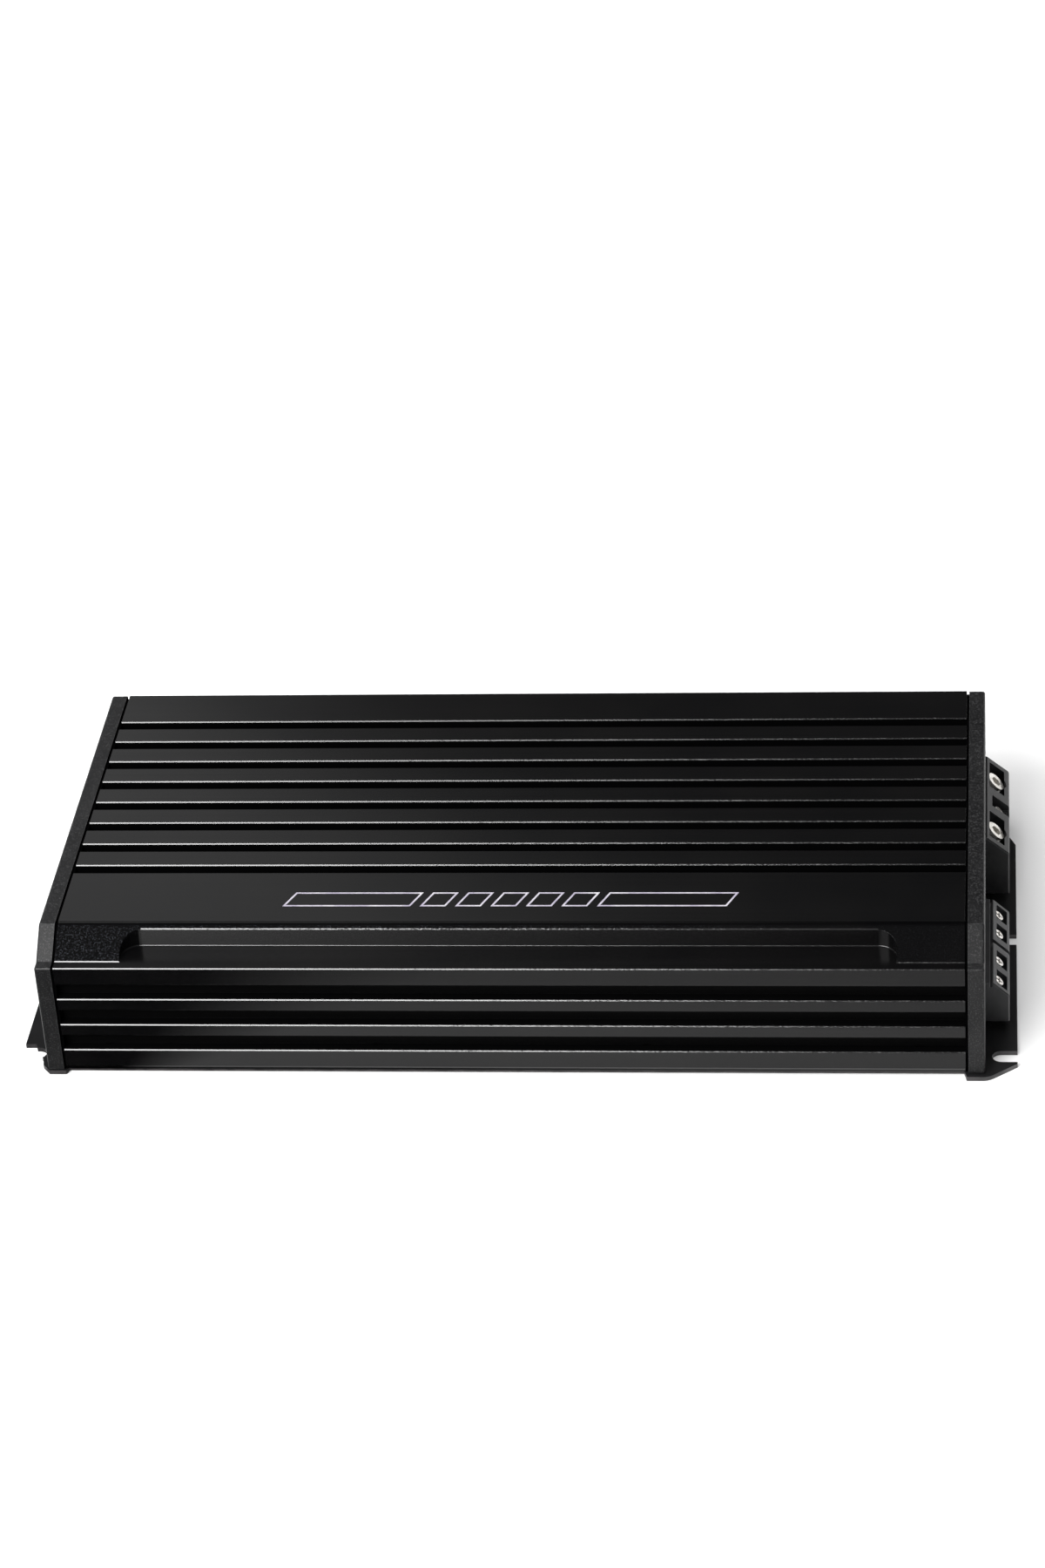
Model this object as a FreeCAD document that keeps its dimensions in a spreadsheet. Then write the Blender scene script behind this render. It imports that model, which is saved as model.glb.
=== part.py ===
import FreeCAD, Part
import math
import os
import re

import Sketcher

# A car audio amplifier: an extruded heatsink casing between two end caps, on a steel mounting plate.
# Frame: origin on the plate's underside below the middle of the casing, +X along the casing towards
# the wire terminals, -Y towards the long side with the shoulder, +Z up. All sizes are in millimetres.

SIZES = {
    # casing extrusion
    "body_length": 280, "body_depth": 149, "body_height": 46.3, "plate_thick": 1.5,
    "shoulder_depth": 13.7, "ledge_depth": 3.65, "shoulder_drop": 7.45,
    "rabbet_width": 1.1, "rabbet_deep": 0.6,
    "groove_count": 8, "groove_pitch": 12.24, "groove_width": 4.2, "groove_deep": 4.0,
    "groove_first": 57.3,
    "rib_groove_count": 3, "rib_groove_pitch": 9.6, "rib_groove_height": 5.6, "rib_groove_deep": 3.7,
    "rib_groove_first": 13.5, "foot_high": 1.9, "foot_deep": 1.0,
    "wall_thick": 7.2, "roof_thick": 8.3, "front_step_drop": 3.0, "front_step_width": 11.3,
    "shelf_width": 5.3, "shelf_thick": 3.5, "shelf_relief": 6.0,
    "pocket_length": 239.6, "pocket_wall": 62.0, "pocket_corner": 6.0, "pocket_cove": 0.5,
    "pocket_lip": 0.12, "edge_break": 0.3, "terminal_break": 0.4,
    # end caps
    "cap_thick": 6.0, "cap_gap": 0.8, "cap_inset": 0.9, "cap_bottom": 1.9, "cap_round": 0.8,
    # small screws
    "screw_shank": 1.5, "screw_bore": 1.55, "screw_pass": 1.7, "screw_head": 2.65, "screw_sink": 1.0,
    "screw_length": 12.0, "small_shank": 1.2, "small_bore": 1.25, "small_head": 2.2,
    "small_head_high": 1.5, "low_screw_y": 70.9, "low_screw_z": 5.5, "high_screw_y": 70.9,
    "high_screw_z": 43.4, "shoulder_screw_y": 63.5, "shoulder_screw_z": 41.0,
    "screw_flare": 0.15, "cross_arm": 1.3, "cross_half": 0.3, "cross_deep": 0.7,
    "small_arm": 1.1, "small_half": 0.25, "small_deep": 0.8, "board_screw_length": 6.0,
    "bar_screw_length": 12.0, "overcut": 1.0,
    # mounting plate
    "plate_shift": 2.5, "ear_reach": 155.8, "ear_sweep": 147.0, "ear_round": 5.0, "ear_front": 73.7,
    "ear_root": 140.3, "ear_corner": 54.9, "ear_square": 58.3, "ear_tail": 72.2, "slot_width": 5.6,
    "slot_inner": 148.1, "slot_spacing": 63.0, "plate_inset": 2.0, "plate_screw_y": 69.7,
    "plate_screw_pitch": 84.0, "plate_screw_length": 8.0,
    # main circuit board
    "board_base": 10.5, "board_thick": 1.6, "board_length": 268, "board_depth": 133.4,
    "board_screw_y": 64.6, "board_screw_x": 118,
    # wire terminals: where each block stands, its slanted face, its bays, clamps and screws
    "terminal_in": 136.5, "clamp_in": 137.0, "fit_gap": 0.2, "turn_gap": 0.06, "screw_clear": 0.15,
    "power_mid": 43.3, "power_width": 49.3, "power_out": 153.7, "power_low": 4.7,
    "power_face_top": 26.4, "power_face_low": 20.4, "power_pitch": 29.4, "power_bay": 14.6,
    "power_wall": 147.3, "power_bay_out": 152.1, "power_bay_floor": 7.0,
    "power_clamp": 12.0, "power_clamp_low": 6.2, "power_clamp_high": 21.0,
    "power_wire": 3.9, "power_wire_z": 12.2, "power_wire_stop": 139.5,
    "power_screw": 3.0, "power_head": 3.4, "power_screw_x": 149.5, "power_screw_z": 22.9,
    "remote_step_in": 148.2, "remote_step_z": 18.9, "remote_step": 6.4,
    "remote_wall": 150.4, "remote_bay_out": 152.6, "remote_bay": 4.0,
    "remote_clamp": 4.8, "remote_clamp_low": 10.2, "remote_clamp_high": 17.5,
    "remote_wire": 1.6, "remote_wire_stop": 142.0, "remote_screw_x": 150.4, "remote_screw_z": 20.9,
    "speaker_mid": -28.7, "speaker_width": 46.2, "speaker_out": 153.5, "speaker_face_in": 148.5,
    "speaker_face_top": 19.3, "speaker_face_low": 14.6, "speaker_pitch": 10.3, "speaker_gap": 14.9,
    "speaker_rim": 147.4, "speaker_rim_gap": 0.8, "speaker_rim_deep": 1.5, "speaker_divider": 1.8,
    "speaker_wall": 149.5, "speaker_bay_out": 152.7, "speaker_bay": 7.4, "speaker_bay_floor": 6.0,
    "speaker_clamp": 7.0, "speaker_clamp_low": 6.0, "speaker_clamp_high": 15.0,
    "speaker_wire": 2.1, "speaker_wire_z": 9.2, "speaker_wire_stop": 141.0,
    "speaker_screw": 1.75, "speaker_screw_x": 150.3, "speaker_screw_z": 16.7,
    "neck_inset": 1.2, "neck_drop": 0.4, "face_lip": 0.6, "hex_radius": 1.9, "hex_deep": 2.0,
    "set_arm": 1.25, "set_half": 0.3, "set_deep": 0.9, "set_top": 1.0, "power_head_high": 2.6,
    "power_screw_length": 6.4, "speaker_screw_length": 5.7, "remote_screw_length": 8.1,
    "power_thread": 10.2, "remote_thread": 10.6, "speaker_thread": 7.6,
    # controls
    "control_z": 18.4, "knob_radius": 3.0, "knob_pitch": 12.0, "knob_first": -52.0,
    "knob_proud": 0.6, "knob_bevel": 0.3, "knob_long": 5.2, "knob_slot_half": 0.45,
    "knob_slot_arm": 2.2, "knob_slot_deep": 1.2, "shaft_radius": 1.5, "shaft_reach": 4.6,
    "pot_face": 138.0, "pot_deep": 9.0, "pot_width": 10.0, "pot_high": 11.5, "pot_socket": 5.0,
    "switch_first": -2.0, "switch_pitch": 13.0, "switch_travel": 3.0, "switch_deep": 7.0,
    "switch_side": 2.4, "switch_high": 10.0, "slide_deep": 3.0, "slide_gap": 0.1,
    "lever_width": 2.2, "lever_high": 2.6, "lever_proud": 1.0, "lever_tail": 2.8,
    "led_y": -61.0, "led_first": 15.6, "led_pitch": 6.4, "led_radius": 1.5, "led_foot": 1.6,
    "led_long": 9.8, "led_dome": 0.2,
    # sockets
    "socket_in": 128.0, "jack_y": 24.0, "jack_proud": 5.0, "jack_half": 5.8, "jack_high": 11.8,
    "jack_mouth_in": 133.0, "jack_mouth_half": 4.8, "jack_mouth_low": 1.4, "jack_mouth_high": 8.4,
    "latch_in": 135.0, "latch_half": 2.2, "latch_high": 10.4, "pin_first": 3.2, "pin_pitch": 2.1,
    "pin_thick": 0.5, "rca_first": 41.0, "rca_pitch": 15.0, "rca_z": 20.2, "rca_radius": 4.15,
    "rca_length": 8.6, "rca_base": 139.0, "rca_base_gap": 1.0, "rca_tip_step": 1.0,
    "rca_case_top": 7.0, "rca_collar": 0.25,
    "rca_wall": 0.5, "rca_slack": 0.05, "rca_contact": 1.68, "rca_contact_way": 1.75,
    "rca_contact_bore": 1.4, "rca_well": 1.7, "rca_well_deep": 3.0,
    # power parts on the board
    "device_width": 10.0, "device_pitch": 14.0, "device_thick": 4.4, "tab_thick": 1.3,
    "pad_thick": 0.3, "case_low": 22.0, "case_high": 31.0, "tab_high": 36.2, "bar_thick": 1.8,
    "bar_high": 3.6, "bar_overhang": 7.0, "bar_hole": 1.4, "clamp_z": 26.6, "bar_screw_grip": 4.2,
    "leg_width": 0.8, "leg_inner": 3.0, "leg_outer": 2.5, "eyelet_radius": 1.8, "eyelet_drop": 2.6,
    "toroid_radius": 13.0, "toroid_core": 5.0, "toroid_wire": 0.65, "toroid_turns": 24,
    "choke_radius": 8.8, "choke_core": 3.6, "choke_wire": 0.6, "choke_turns": 18, "coil_gap": 0.1,
    # other parts on the board
    "input_cap_radius": 6.2, "input_cap_high": 22.0, "rail_cap_radius": 8.0, "rail_cap_high": 24.0,
    "coupling_cap_radius": 2.5, "coupling_cap_high": 7.0, "can_groove": 0.7, "can_groove_z": 2.6,
    "film_cap_length": 18.0, "film_cap_high": 12.0, "busbar_width": 7.0, "busbar_thick": 1.5,
    "link_width": 4.0, "link_thick": 0.5, "strip_lap": 0.5, "card_high": 20.0, "card_lift": 3.0,
    "driver_chip_width": 8.0, "driver_chip_high": 5.0, "driver_chip_lift": 9.0,
    "signal_chip_long": 5.0, "signal_chip_wide": 9.0, "signal_chip_high": 1.7,
    "relay_high": 14.0, "sensor_radius": 2.0, "sensor_high": 4.0,
}

NO_TURN = FreeCAD.Rotation()
UP = FreeCAD.Vector(0, 0, 1)
RIGHT = FreeCAD.Vector(1, 0, 0)
TO_RIGHT = FreeCAD.Rotation(UP, RIGHT)
TO_LEFT = FreeCAD.Rotation(UP, -RIGHT)
TO_BACK = FreeCAD.Rotation(UP, FreeCAD.Vector(0, 1, 0))
TO_FRONT = FreeCAD.Rotation(UP, FreeCAD.Vector(0, -1, 0))
UPSIDE_DOWN = FreeCAD.Rotation(RIGHT, 180)
SLANTED = FreeCAD.Rotation(FreeCAD.Vector(0, 1, 0), 45)

doc = FreeCAD.newDocument("car_amplifier")
sheet = doc.addObject("Spreadsheet::Sheet", "Sizes")
for row, (alias, number) in enumerate(SIZES.items(), start=1):
    sheet.set("A%d" % row, alias.replace("_", " "))
    sheet.set("B%d" % row, str(number))
    sheet.setAlias("B%d" % row, alias)
doc.recompute()

nodes = []

# Heights and places that many pieces share, as expressions of the sheet's cells
TOP = "(plate_thick + body_height)"
HALF_DEPTH = "(body_depth / 2)"
HALF_LENGTH = "(body_length / 2)"
INNER_WALL = "(body_depth / 2 - wall_thick)"
CEILING = "(plate_thick + body_height - roof_thick)"
BOARD_TOP = "(board_base + board_thick)"
CAP_FACE = "(body_length / 2 + cap_thick)"


# ---------------------------------------------------------------- helpers

def bound(text):
    """An expression with each size name pointing at its cell."""
    return re.sub(r"[a-z][a-z_]*", lambda word: "Sizes." + word.group(), text)


def size(text):
    """The present value of an expression of size names."""
    return float(sheet.evalExpression(text))


def count(alias):
    return int(round(size(alias)))


def signed(side, text):
    return "-" + text if side < 0 else text


def locate(item, x="0", y="0", z="0", turn=NO_TURN):
    """Sets an item's Placement: a fixed turn, and a position bound to the sheet."""
    item.Placement = FreeCAD.Placement(FreeCAD.Vector(), turn)
    for axis, text in zip("xyz", (x, y, z)):
        item.setExpression("Placement.Base." + axis, bound(text))
    return item


def node(item, label):
    """Names an item as one of the amplifier's pieces."""
    item.Label = label
    nodes.append(item)
    return item


def block(name, x, y, z):
    """A box between two planes on each axis, each pair given low then high."""
    item = doc.addObject("Part::Box", name)
    for prop, (low, high) in zip(("Length", "Width", "Height"), (x, y, z)):
        item.setExpression(prop, bound("(%s) - (%s)" % (high, low)))
    return locate(item, x[0], y[0], z[0])


def rod(name, radius, length, x, y, z, turn=NO_TURN):
    """A cylinder from a start point along the turned Z axis."""
    item = doc.addObject("Part::Cylinder", name)
    item.setExpression("Radius", bound(radius))
    item.setExpression("Height", bound(length))
    return locate(item, x, y, z, turn)


def ring(name, radius, section, x, y, z, turn=NO_TURN):
    item = doc.addObject("Part::Torus", name)
    item.setExpression("Radius1", bound(radius))
    item.setExpression("Radius2", bound(section))
    return locate(item, x, y, z, turn)


def ball(name, radius, x, y, z):
    item = doc.addObject("Part::Sphere", name)
    item.setExpression("Radius", bound(radius))
    return locate(item, x, y, z)


def cut(name, base, tools):
    """The base less every tool."""
    item = doc.addObject("Part::Cut", name)
    item.Base = base
    item.Tool = tools[0] if len(tools) == 1 else fuse(name + "_tools", tools)
    return item


def fuse(name, shapes):
    item = doc.addObject("Part::MultiFuse", name)
    item.Shapes = shapes
    return item


def group(name, items):
    """Identical or matching pieces kept together as separate solids."""
    item = doc.addObject("Part::Compound", name)
    item.Links = items
    return item


def copies(name, master, places):
    """One solid for each place, all with the master's shape."""
    doc.recompute()
    item = doc.addObject("Part::Feature", name)
    solids = []
    for place in places:
        solid = master.Shape.copy()
        solid.Placement = place
        solids.append(solid)
    item.Shape = solids[0] if len(solids) == 1 else Part.makeCompound(solids)
    return item


def spot(x, y, z, turn=NO_TURN):
    """A fixed place worked out from the sheet."""
    return FreeCAD.Placement(FreeCAD.Vector(size(x), size(y), size(z)), turn)


def origin_plane(body, role):
    return [item for item in body.Origin.OriginFeatures if item.Role == role][0]


def sketch(body, role, loops, offset="0"):
    """A constrained sketch. A loop is a list of corner expressions, or a circle (x, y, radius)."""
    plan = body.newObject("Sketcher::SketchObject", body.Name + "_sketch")
    plan.AttachmentSupport = (origin_plane(body, role), [""])
    plan.MapMode = "FlatFace"
    plan.setExpression("AttachmentOffset.Base.z", bound(offset))
    for loop in loops:
        if isinstance(loop, tuple):
            add_circle(plan, loop)
        else:
            add_polygon(plan, loop)
    return plan


def pin_point(plan, line, point, corner):
    """Holds one sketch point at two expressions measured from the sketch's origin."""
    for kind, text in zip(("DistanceX", "DistanceY"), corner):
        place = plan.addConstraint(Sketcher.Constraint(kind, -1, 1, line, point, size(text)))
        plan.setExpression("Constraints[%d]" % place, bound(text))


def add_circle(plan, loop):
    x, y, radius = loop
    circle = Part.Circle(FreeCAD.Vector(size(x), size(y), 0), UP, size(radius))
    line = plan.addGeometry(circle, False)
    place = plan.addConstraint(Sketcher.Constraint("Radius", line, size(radius)))
    plan.setExpression("Constraints[%d]" % place, bound(radius))
    pin_point(plan, line, 3, (x, y))


def add_polygon(plan, loop):
    corners = [FreeCAD.Vector(size(x), size(y), 0) for x, y in loop]
    sides = [Part.LineSegment(here, there) for here, there in zip(corners, corners[1:] + corners[:1])]
    first = plan.addGeometry(sides, False)[0]
    last = first + len(sides) - 1
    for line in range(first, last + 1):
        following = first if line == last else line + 1
        plan.addConstraint(Sketcher.Constraint("Coincident", line, 2, following, 1))
    for line, corner in enumerate(loop, start=first):
        pin_point(plan, line, 1, corner)


def centred(middle, width):
    """The two ends of a width laid evenly about a middle."""
    return ("%s - (%s) / 2" % (middle, width), "%s + (%s) / 2" % (middle, width))


def widened(pair, gap="fit_gap"):
    """A low and high pair opened up by a gap at both ends."""
    return ("%s - %s" % (pair[0], gap), "%s + %s" % (pair[1], gap))


def above_board(low, high):
    """A low and high pair of heights measured from the circuit board's upper face."""
    return "%s + %s" % (BOARD_TOP, low), "%s + %s" % (BOARD_TOP, high)


def rectangle(x, y):
    return [(x[0], y[0]), (x[1], y[0]), (x[1], y[1]), (x[0], y[1])]


def pad(body, plan, length, both_ways=False, backwards=False):
    item = body.newObject("PartDesign::Pad", body.Name + "_pad")
    item.Profile = plan
    item.setExpression("Length", bound(length))
    item.Midplane = both_ways
    item.Reversed = backwards
    doc.recompute()
    return item


def pocket(body, plan, length=None, both_ways=False, backwards=False):
    """A cut from the sketch plane: of a length, or right through both ways."""
    before = body.Shape.Volume
    item = body.newObject("PartDesign::Pocket", body.Name + "_pocket")
    item.Profile = plan
    if length is None:
        item.Type = "ThroughAll"
        item.Midplane = True
    else:
        item.setExpression("Length", bound(length))
        item.Midplane = both_ways
        item.Reversed = backwards
    doc.recompute()
    if not body.Shape.Volume < before:
        raise RuntimeError(item.Name + " cut nothing")
    return item


def edge_names(shape, wanted):
    return ["Edge%d" % number for number, edge in enumerate(shape.Edges, start=1) if wanted(edge)]


def is_rim(edge, radius):
    """Whether an edge is a circle of the given radius."""
    return (not edge.Degenerated and isinstance(edge.Curve, Part.Circle)
            and abs(edge.Curve.Radius - size(radius)) < 0.001)


def soften(body, kind, amount, wanted):
    """A Fillet or Chamfer on the body's wanted edges."""
    base = body.Tip
    item = body.newObject("PartDesign::" + kind, body.Name + "_" + kind.lower())
    item.Base = (base, edge_names(base.Shape, wanted))
    item.setExpression("Radius" if kind == "Fillet" else "Size", bound(amount))
    doc.recompute()
    return item


def new_body(name):
    return doc.addObject("PartDesign::Body", name)


def turned(name, outline):
    """A body revolved about Z from a half outline of (radius, height) corners."""
    body = new_body(name)
    item = body.newObject("PartDesign::Revolution", name + "_turning")
    item.Profile = sketch(body, "XZ_Plane", [outline])
    item.ReferenceAxis = (origin_plane(body, "Z_Axis"), [""])
    item.Angle = 360
    doc.recompute()
    return body


def cross(arm, half_width):
    """Corners of a cross recess."""
    a, w = arm, half_width
    quarter = [(a, w), (w, w), (w, a)]
    corners = []
    for swap, sign_x, sign_y in ((0, "", ""), (1, "-", ""), (0, "-", "-"), (1, "", "-")):
        points = reversed(quarter) if swap else quarter
        corners += [(sign_x + x, sign_y + y) for x, y in points]
    return corners


def hexagon(radius):
    corners = []
    for number in range(6):
        angle = math.radians(60 * number)
        corners.append(("%s * %.5f" % (radius, math.cos(angle)), "%s * %.5f" % (radius, math.sin(angle))))
    return corners


def screw(name, head, seat, shank, head_high, length, recess, recess_deep):
    """A screw pointing down -Z with the top of its head at the origin."""
    outline = [("0", "0"), (head, "0"), (seat, "-" + head_high)]
    if shank != seat:
        outline.append((shank, "-" + head_high))
    body = turned(name, outline + [(shank, "-" + length), ("0", "-" + length)])
    pocket(body, sketch(body, "XY_Plane", [recess]), recess_deep)
    return body


# ---------------------------------------------------------------- casing

def rib_corners(side):
    """Corners of one ribbed long wall, from its foot up, for the front (-1) or back (1)."""
    face = signed(side, HALF_DEPTH)
    broken = signed(side, "(body_depth / 2 - edge_break)")
    root = signed(side, "(body_depth / 2 - rib_groove_deep)")
    foot = signed(side, "(body_depth / 2 - foot_deep)")
    corners = [(foot, "plate_thick"), (face, "plate_thick + foot_high")]
    for number in reversed(range(count("rib_groove_count"))):
        high = "%s - rib_groove_first - %d * rib_groove_pitch" % (TOP, number)
        low = high + " - rib_groove_height"
        corners += [(face, low + " - edge_break"), (broken, low), (root, low), (root, high), (face, high)]
    return corners


def roof_corners():
    """Corners of the front shoulder and the grooved top, from front to back, with broken edges."""
    corners = [
        ("-" + HALF_DEPTH, TOP + " - shoulder_drop - edge_break"),
        ("-%s + edge_break" % HALF_DEPTH, TOP + " - shoulder_drop"),
        ("-%s + ledge_depth - edge_break" % HALF_DEPTH, TOP + " - shoulder_drop"),
        ("-%s + ledge_depth" % HALF_DEPTH, TOP + " - shoulder_drop + edge_break"),
        ("-%s + shoulder_depth" % HALF_DEPTH, TOP + " - rabbet_deep"),
        ("-%s + shoulder_depth + rabbet_width" % HALF_DEPTH, TOP + " - rabbet_deep"),
        ("-%s + shoulder_depth + rabbet_width" % HALF_DEPTH, TOP)]
    for number in reversed(range(count("groove_count"))):
        back = "groove_first - %d * groove_pitch" % number
        front = back + " - groove_width"
        bottom = TOP + " - groove_deep"
        corners += [(front + " - edge_break", TOP), (front, TOP + " - edge_break"), (front, bottom),
                    (back, bottom), (back, TOP + " - edge_break"), (back + " + edge_break", TOP)]
    return corners + [(HALF_DEPTH + " - edge_break", TOP), (HALF_DEPTH, TOP + " - edge_break")]


def cavity_corners():
    """Corners of the inside, from the back wall round to the front wall."""
    shelf = "(body_depth / 2 - wall_thick - shelf_width)"
    step = "(body_depth / 2 - wall_thick - front_step_width)"
    under = "board_base - shelf_thick"
    step_low = CEILING + " - front_step_drop"
    return [
        (INNER_WALL, "plate_thick"), (INNER_WALL, under), (shelf, under), (shelf, "board_base"),
        (INNER_WALL, "board_base"), (INNER_WALL, CEILING),
        ("-" + step, CEILING), ("-" + step, step_low), ("-" + INNER_WALL, step_low),
        ("-" + INNER_WALL, "board_base"), ("-" + shelf, "board_base"), ("-" + shelf, under),
        ("-" + INNER_WALL, under), ("-" + INNER_WALL, "plate_thick")]


def cap_screw_spots():
    """Depth and height of the four screws that hold each end cap."""
    return [
        ("-low_screw_y", "low_screw_z"), ("low_screw_y", "low_screw_z"),
        ("-shoulder_screw_y", "shoulder_screw_z"), ("high_screw_y", "high_screw_z")]


def plate_screw_spots():
    return [("%g * plate_screw_pitch" % step, side + "plate_screw_y")
            for step in (-1.5, -0.5, 0.5, 1.5) for side in ("-", "")]


def board_screw_spots():
    return [(along, side + "board_screw_y")
            for along in ("-board_screw_x", "0", "board_screw_x") for side in ("-", "")]


def device_places(first, number):
    return ["%g + %d * device_pitch" % (first, step) for step in range(number)]


OUTPUT_DEVICES = device_places(24, 6)
SUPPLY_DEVICES = device_places(24, 5)
RECTIFIERS = device_places(-60, 3)


def bar_screw_places(places):
    """Halfway between neighbouring devices, every second gap."""
    return ["%s + device_pitch / 2" % place for place in places[:-1:2]]


def build_shoulder_cutters():
    """What is milled out of the front shoulder: the recess, and a fine bevel along its back edge."""
    half_recess = "pocket_length / 2"
    floor = TOP + " - shoulder_drop"
    recess = new_body("shoulder_recess")
    outline = rectangle(("-" + half_recess, half_recess), ("-body_depth / 2 - overcut", "-pocket_wall"))
    pad(recess, sketch(recess, "XY_Plane", [outline], floor), "shoulder_drop * 2")
    corner_x = size(half_recess)
    corner_y = -size("pocket_wall")
    floor_z = size(floor)

    def back_corner(edge):
        middle = edge.CenterOfMass
        upright = edge.BoundBox.XLength < 0.01 and edge.BoundBox.YLength < 0.01
        return upright and abs(abs(middle.x) - corner_x) < 0.01 and abs(middle.y - corner_y) < 0.01

    def floor_edge(edge):
        on_floor = abs(edge.BoundBox.ZMax - floor_z) < 0.01
        return on_floor and edge.CenterOfMass.y > size("-body_depth / 2 - overcut / 2")

    soften(recess, "Fillet", "pocket_corner", back_corner)
    soften(recess, "Fillet", "pocket_cove", floor_edge)

    # the bevel's plane leans 45 degrees and meets the recess wall just below the shoulder's slope
    slope = "(shoulder_drop - rabbet_deep - edge_break) / (shoulder_depth - ledge_depth)"
    setback = "(pocket_wall - body_depth / 2 + shoulder_depth)"
    edge_z = "(%s - rabbet_deep - %s * %s - pocket_lip)" % (TOP, setback, slope)
    bevel = new_body("shoulder_bevel")
    corners = [("-pocket_wall - overcut", edge_z + " - overcut"),
               ("-pocket_wall + overcut", edge_z + " + overcut"),
               ("-pocket_wall - overcut", edge_z + " + overcut")]
    pad(bevel, sketch(bevel, "YZ_Plane", [corners]), "pocket_length - 2 * pocket_corner", both_ways=True)
    return [recess, bevel]


def build_casing():
    body = new_body("casing_extrusion")
    back_ribs = list(reversed(rib_corners(1)))
    outline = rib_corners(-1) + roof_corners() + back_ribs + cavity_corners()
    pad(body, sketch(body, "YZ_Plane", [outline]), "body_length", both_ways=True)

    # blind screw holes in both ends, and the shelves cut back where the terminals come through
    for side in (-1, 1):
        holes = [(y, z, "screw_bore") for y, z in cap_screw_spots()]
        pocket(body, sketch(body, "YZ_Plane", holes, signed(side, HALF_LENGTH)),
               "screw_length", backwards=side < 0)
        relief = [rectangle((signed(way, "(body_depth / 2 - wall_thick)"),
                             signed(way, "(body_depth / 2 - wall_thick - shelf_width)")),
                            ("board_base - shelf_thick", "board_base")) for way in (-1, 1)]
        pocket(body, sketch(body, "YZ_Plane", relief, signed(side, HALF_LENGTH)),
               "shelf_relief", backwards=side < 0)

    # plate screws up into the walls, board screws down into the shelves
    holes = [(x, y, "screw_bore") for x, y in plate_screw_spots()]
    pocket(body, sketch(body, "XY_Plane", holes, "plate_thick"), "plate_screw_length", backwards=True)
    holes = [(x, y, "small_bore") for x, y in board_screw_spots()]
    pocket(body, sketch(body, "XY_Plane", holes, "board_base"), "shelf_thick")

    # clamp bar screws into both walls
    for side, places in ((-1, OUTPUT_DEVICES), (1, SUPPLY_DEVICES), (1, RECTIFIERS)):
        holes = [(x, "clamp_z", "small_bore") for x in bar_screw_places(places)]
        offset = "body_depth / 2 - wall_thick" if side < 0 else "-body_depth / 2 + wall_thick"
        pocket(body, sketch(body, "XZ_Plane", holes, offset), "bar_screw_grip", backwards=side < 0)
    node(cut("casing_milled", body, build_shoulder_cutters()), "heatsink_body")


# ---------------------------------------------------------------- end caps

def cap_outline(inset):
    face = "-%s + %s" % (HALF_DEPTH, inset)
    back = "%s - %s" % (HALF_DEPTH, inset)
    top = "%s - %s" % (TOP, inset)
    ledge = "%s - shoulder_drop - %s" % (TOP, inset)
    return [
        (face, "cap_bottom"), (face, ledge), ("-%s + ledge_depth + %s / 2" % (HALF_DEPTH, inset), ledge),
        ("-%s + shoulder_depth + %s / 3" % (HALF_DEPTH, inset), top), (back, top), (back, "cap_bottom")]


def build_end_cap(label, side, openings):
    """A cap whose inner lip leaves a dark line between it and the casing."""
    body = new_body(label + "_casting")
    start = signed(side, "(body_length / 2)")
    seat = signed(side, "(body_length / 2 + cap_gap)")
    pad(body, sketch(body, "YZ_Plane", [cap_outline("0")], seat), "cap_thick - cap_gap",
        backwards=side < 0)
    face = side * size(CAP_FACE)

    corners = [(-size(HALF_DEPTH), size(TOP + " - shoulder_drop")), (size(HALF_DEPTH), size(TOP))]

    def outer_edge(edge):
        """The rim of the outer face, and the cap's two square corners along X."""
        box = edge.BoundBox
        on_face = abs(box.XMin - face) < 0.01 and abs(box.XMax - face) < 0.01
        middle = edge.CenterOfMass
        on_corner = any(abs(middle.y - y) < 0.01 and abs(middle.z - z) < 0.01 for y, z in corners)
        return on_corner or (on_face and box.ZMax > size("cap_bottom") + 0.01)

    soften(body, "Fillet", "cap_round", outer_edge)
    pad(body, sketch(body, "YZ_Plane", [cap_outline("cap_inset")], start), "cap_gap",
        backwards=side < 0)
    holes = [(y, z, "screw_pass") for y, z in cap_screw_spots()]
    pocket(body, sketch(body, "YZ_Plane", holes + openings))

    soften(body, "Chamfer", "screw_sink",
           lambda edge: is_rim(edge, "screw_pass") and abs(edge.BoundBox.XMin - face) < 0.01)
    node(body, label)


def window(y, z):
    """A rectangular opening with a fitting gap on every side."""
    return rectangle(widened(y), widened(z))


POWER_NECK_Y = ("power_mid - power_width / 2 + neck_inset", "power_mid + power_width / 2 - neck_inset")
POWER_NECK_Z = ("power_low", "power_face_top - neck_drop")
SPEAKER_NECK_Y = ("speaker_mid - speaker_width / 2 + neck_inset",
                  "speaker_mid + speaker_width / 2 - neck_inset")
SPEAKER_NECK_Z = ("power_low", "speaker_face_top - neck_drop")


def knob_places():
    return ["knob_first + %d * knob_pitch" % number for number in range(4)]


def switch_places():
    return ["switch_first + %d * switch_pitch" % number for number in range(2)]


def rca_places():
    return ["rca_first + %d * rca_pitch" % number for number in range(2)]


def led_heights():
    return ["led_first + %d * led_pitch" % number for number in range(2)]


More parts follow.
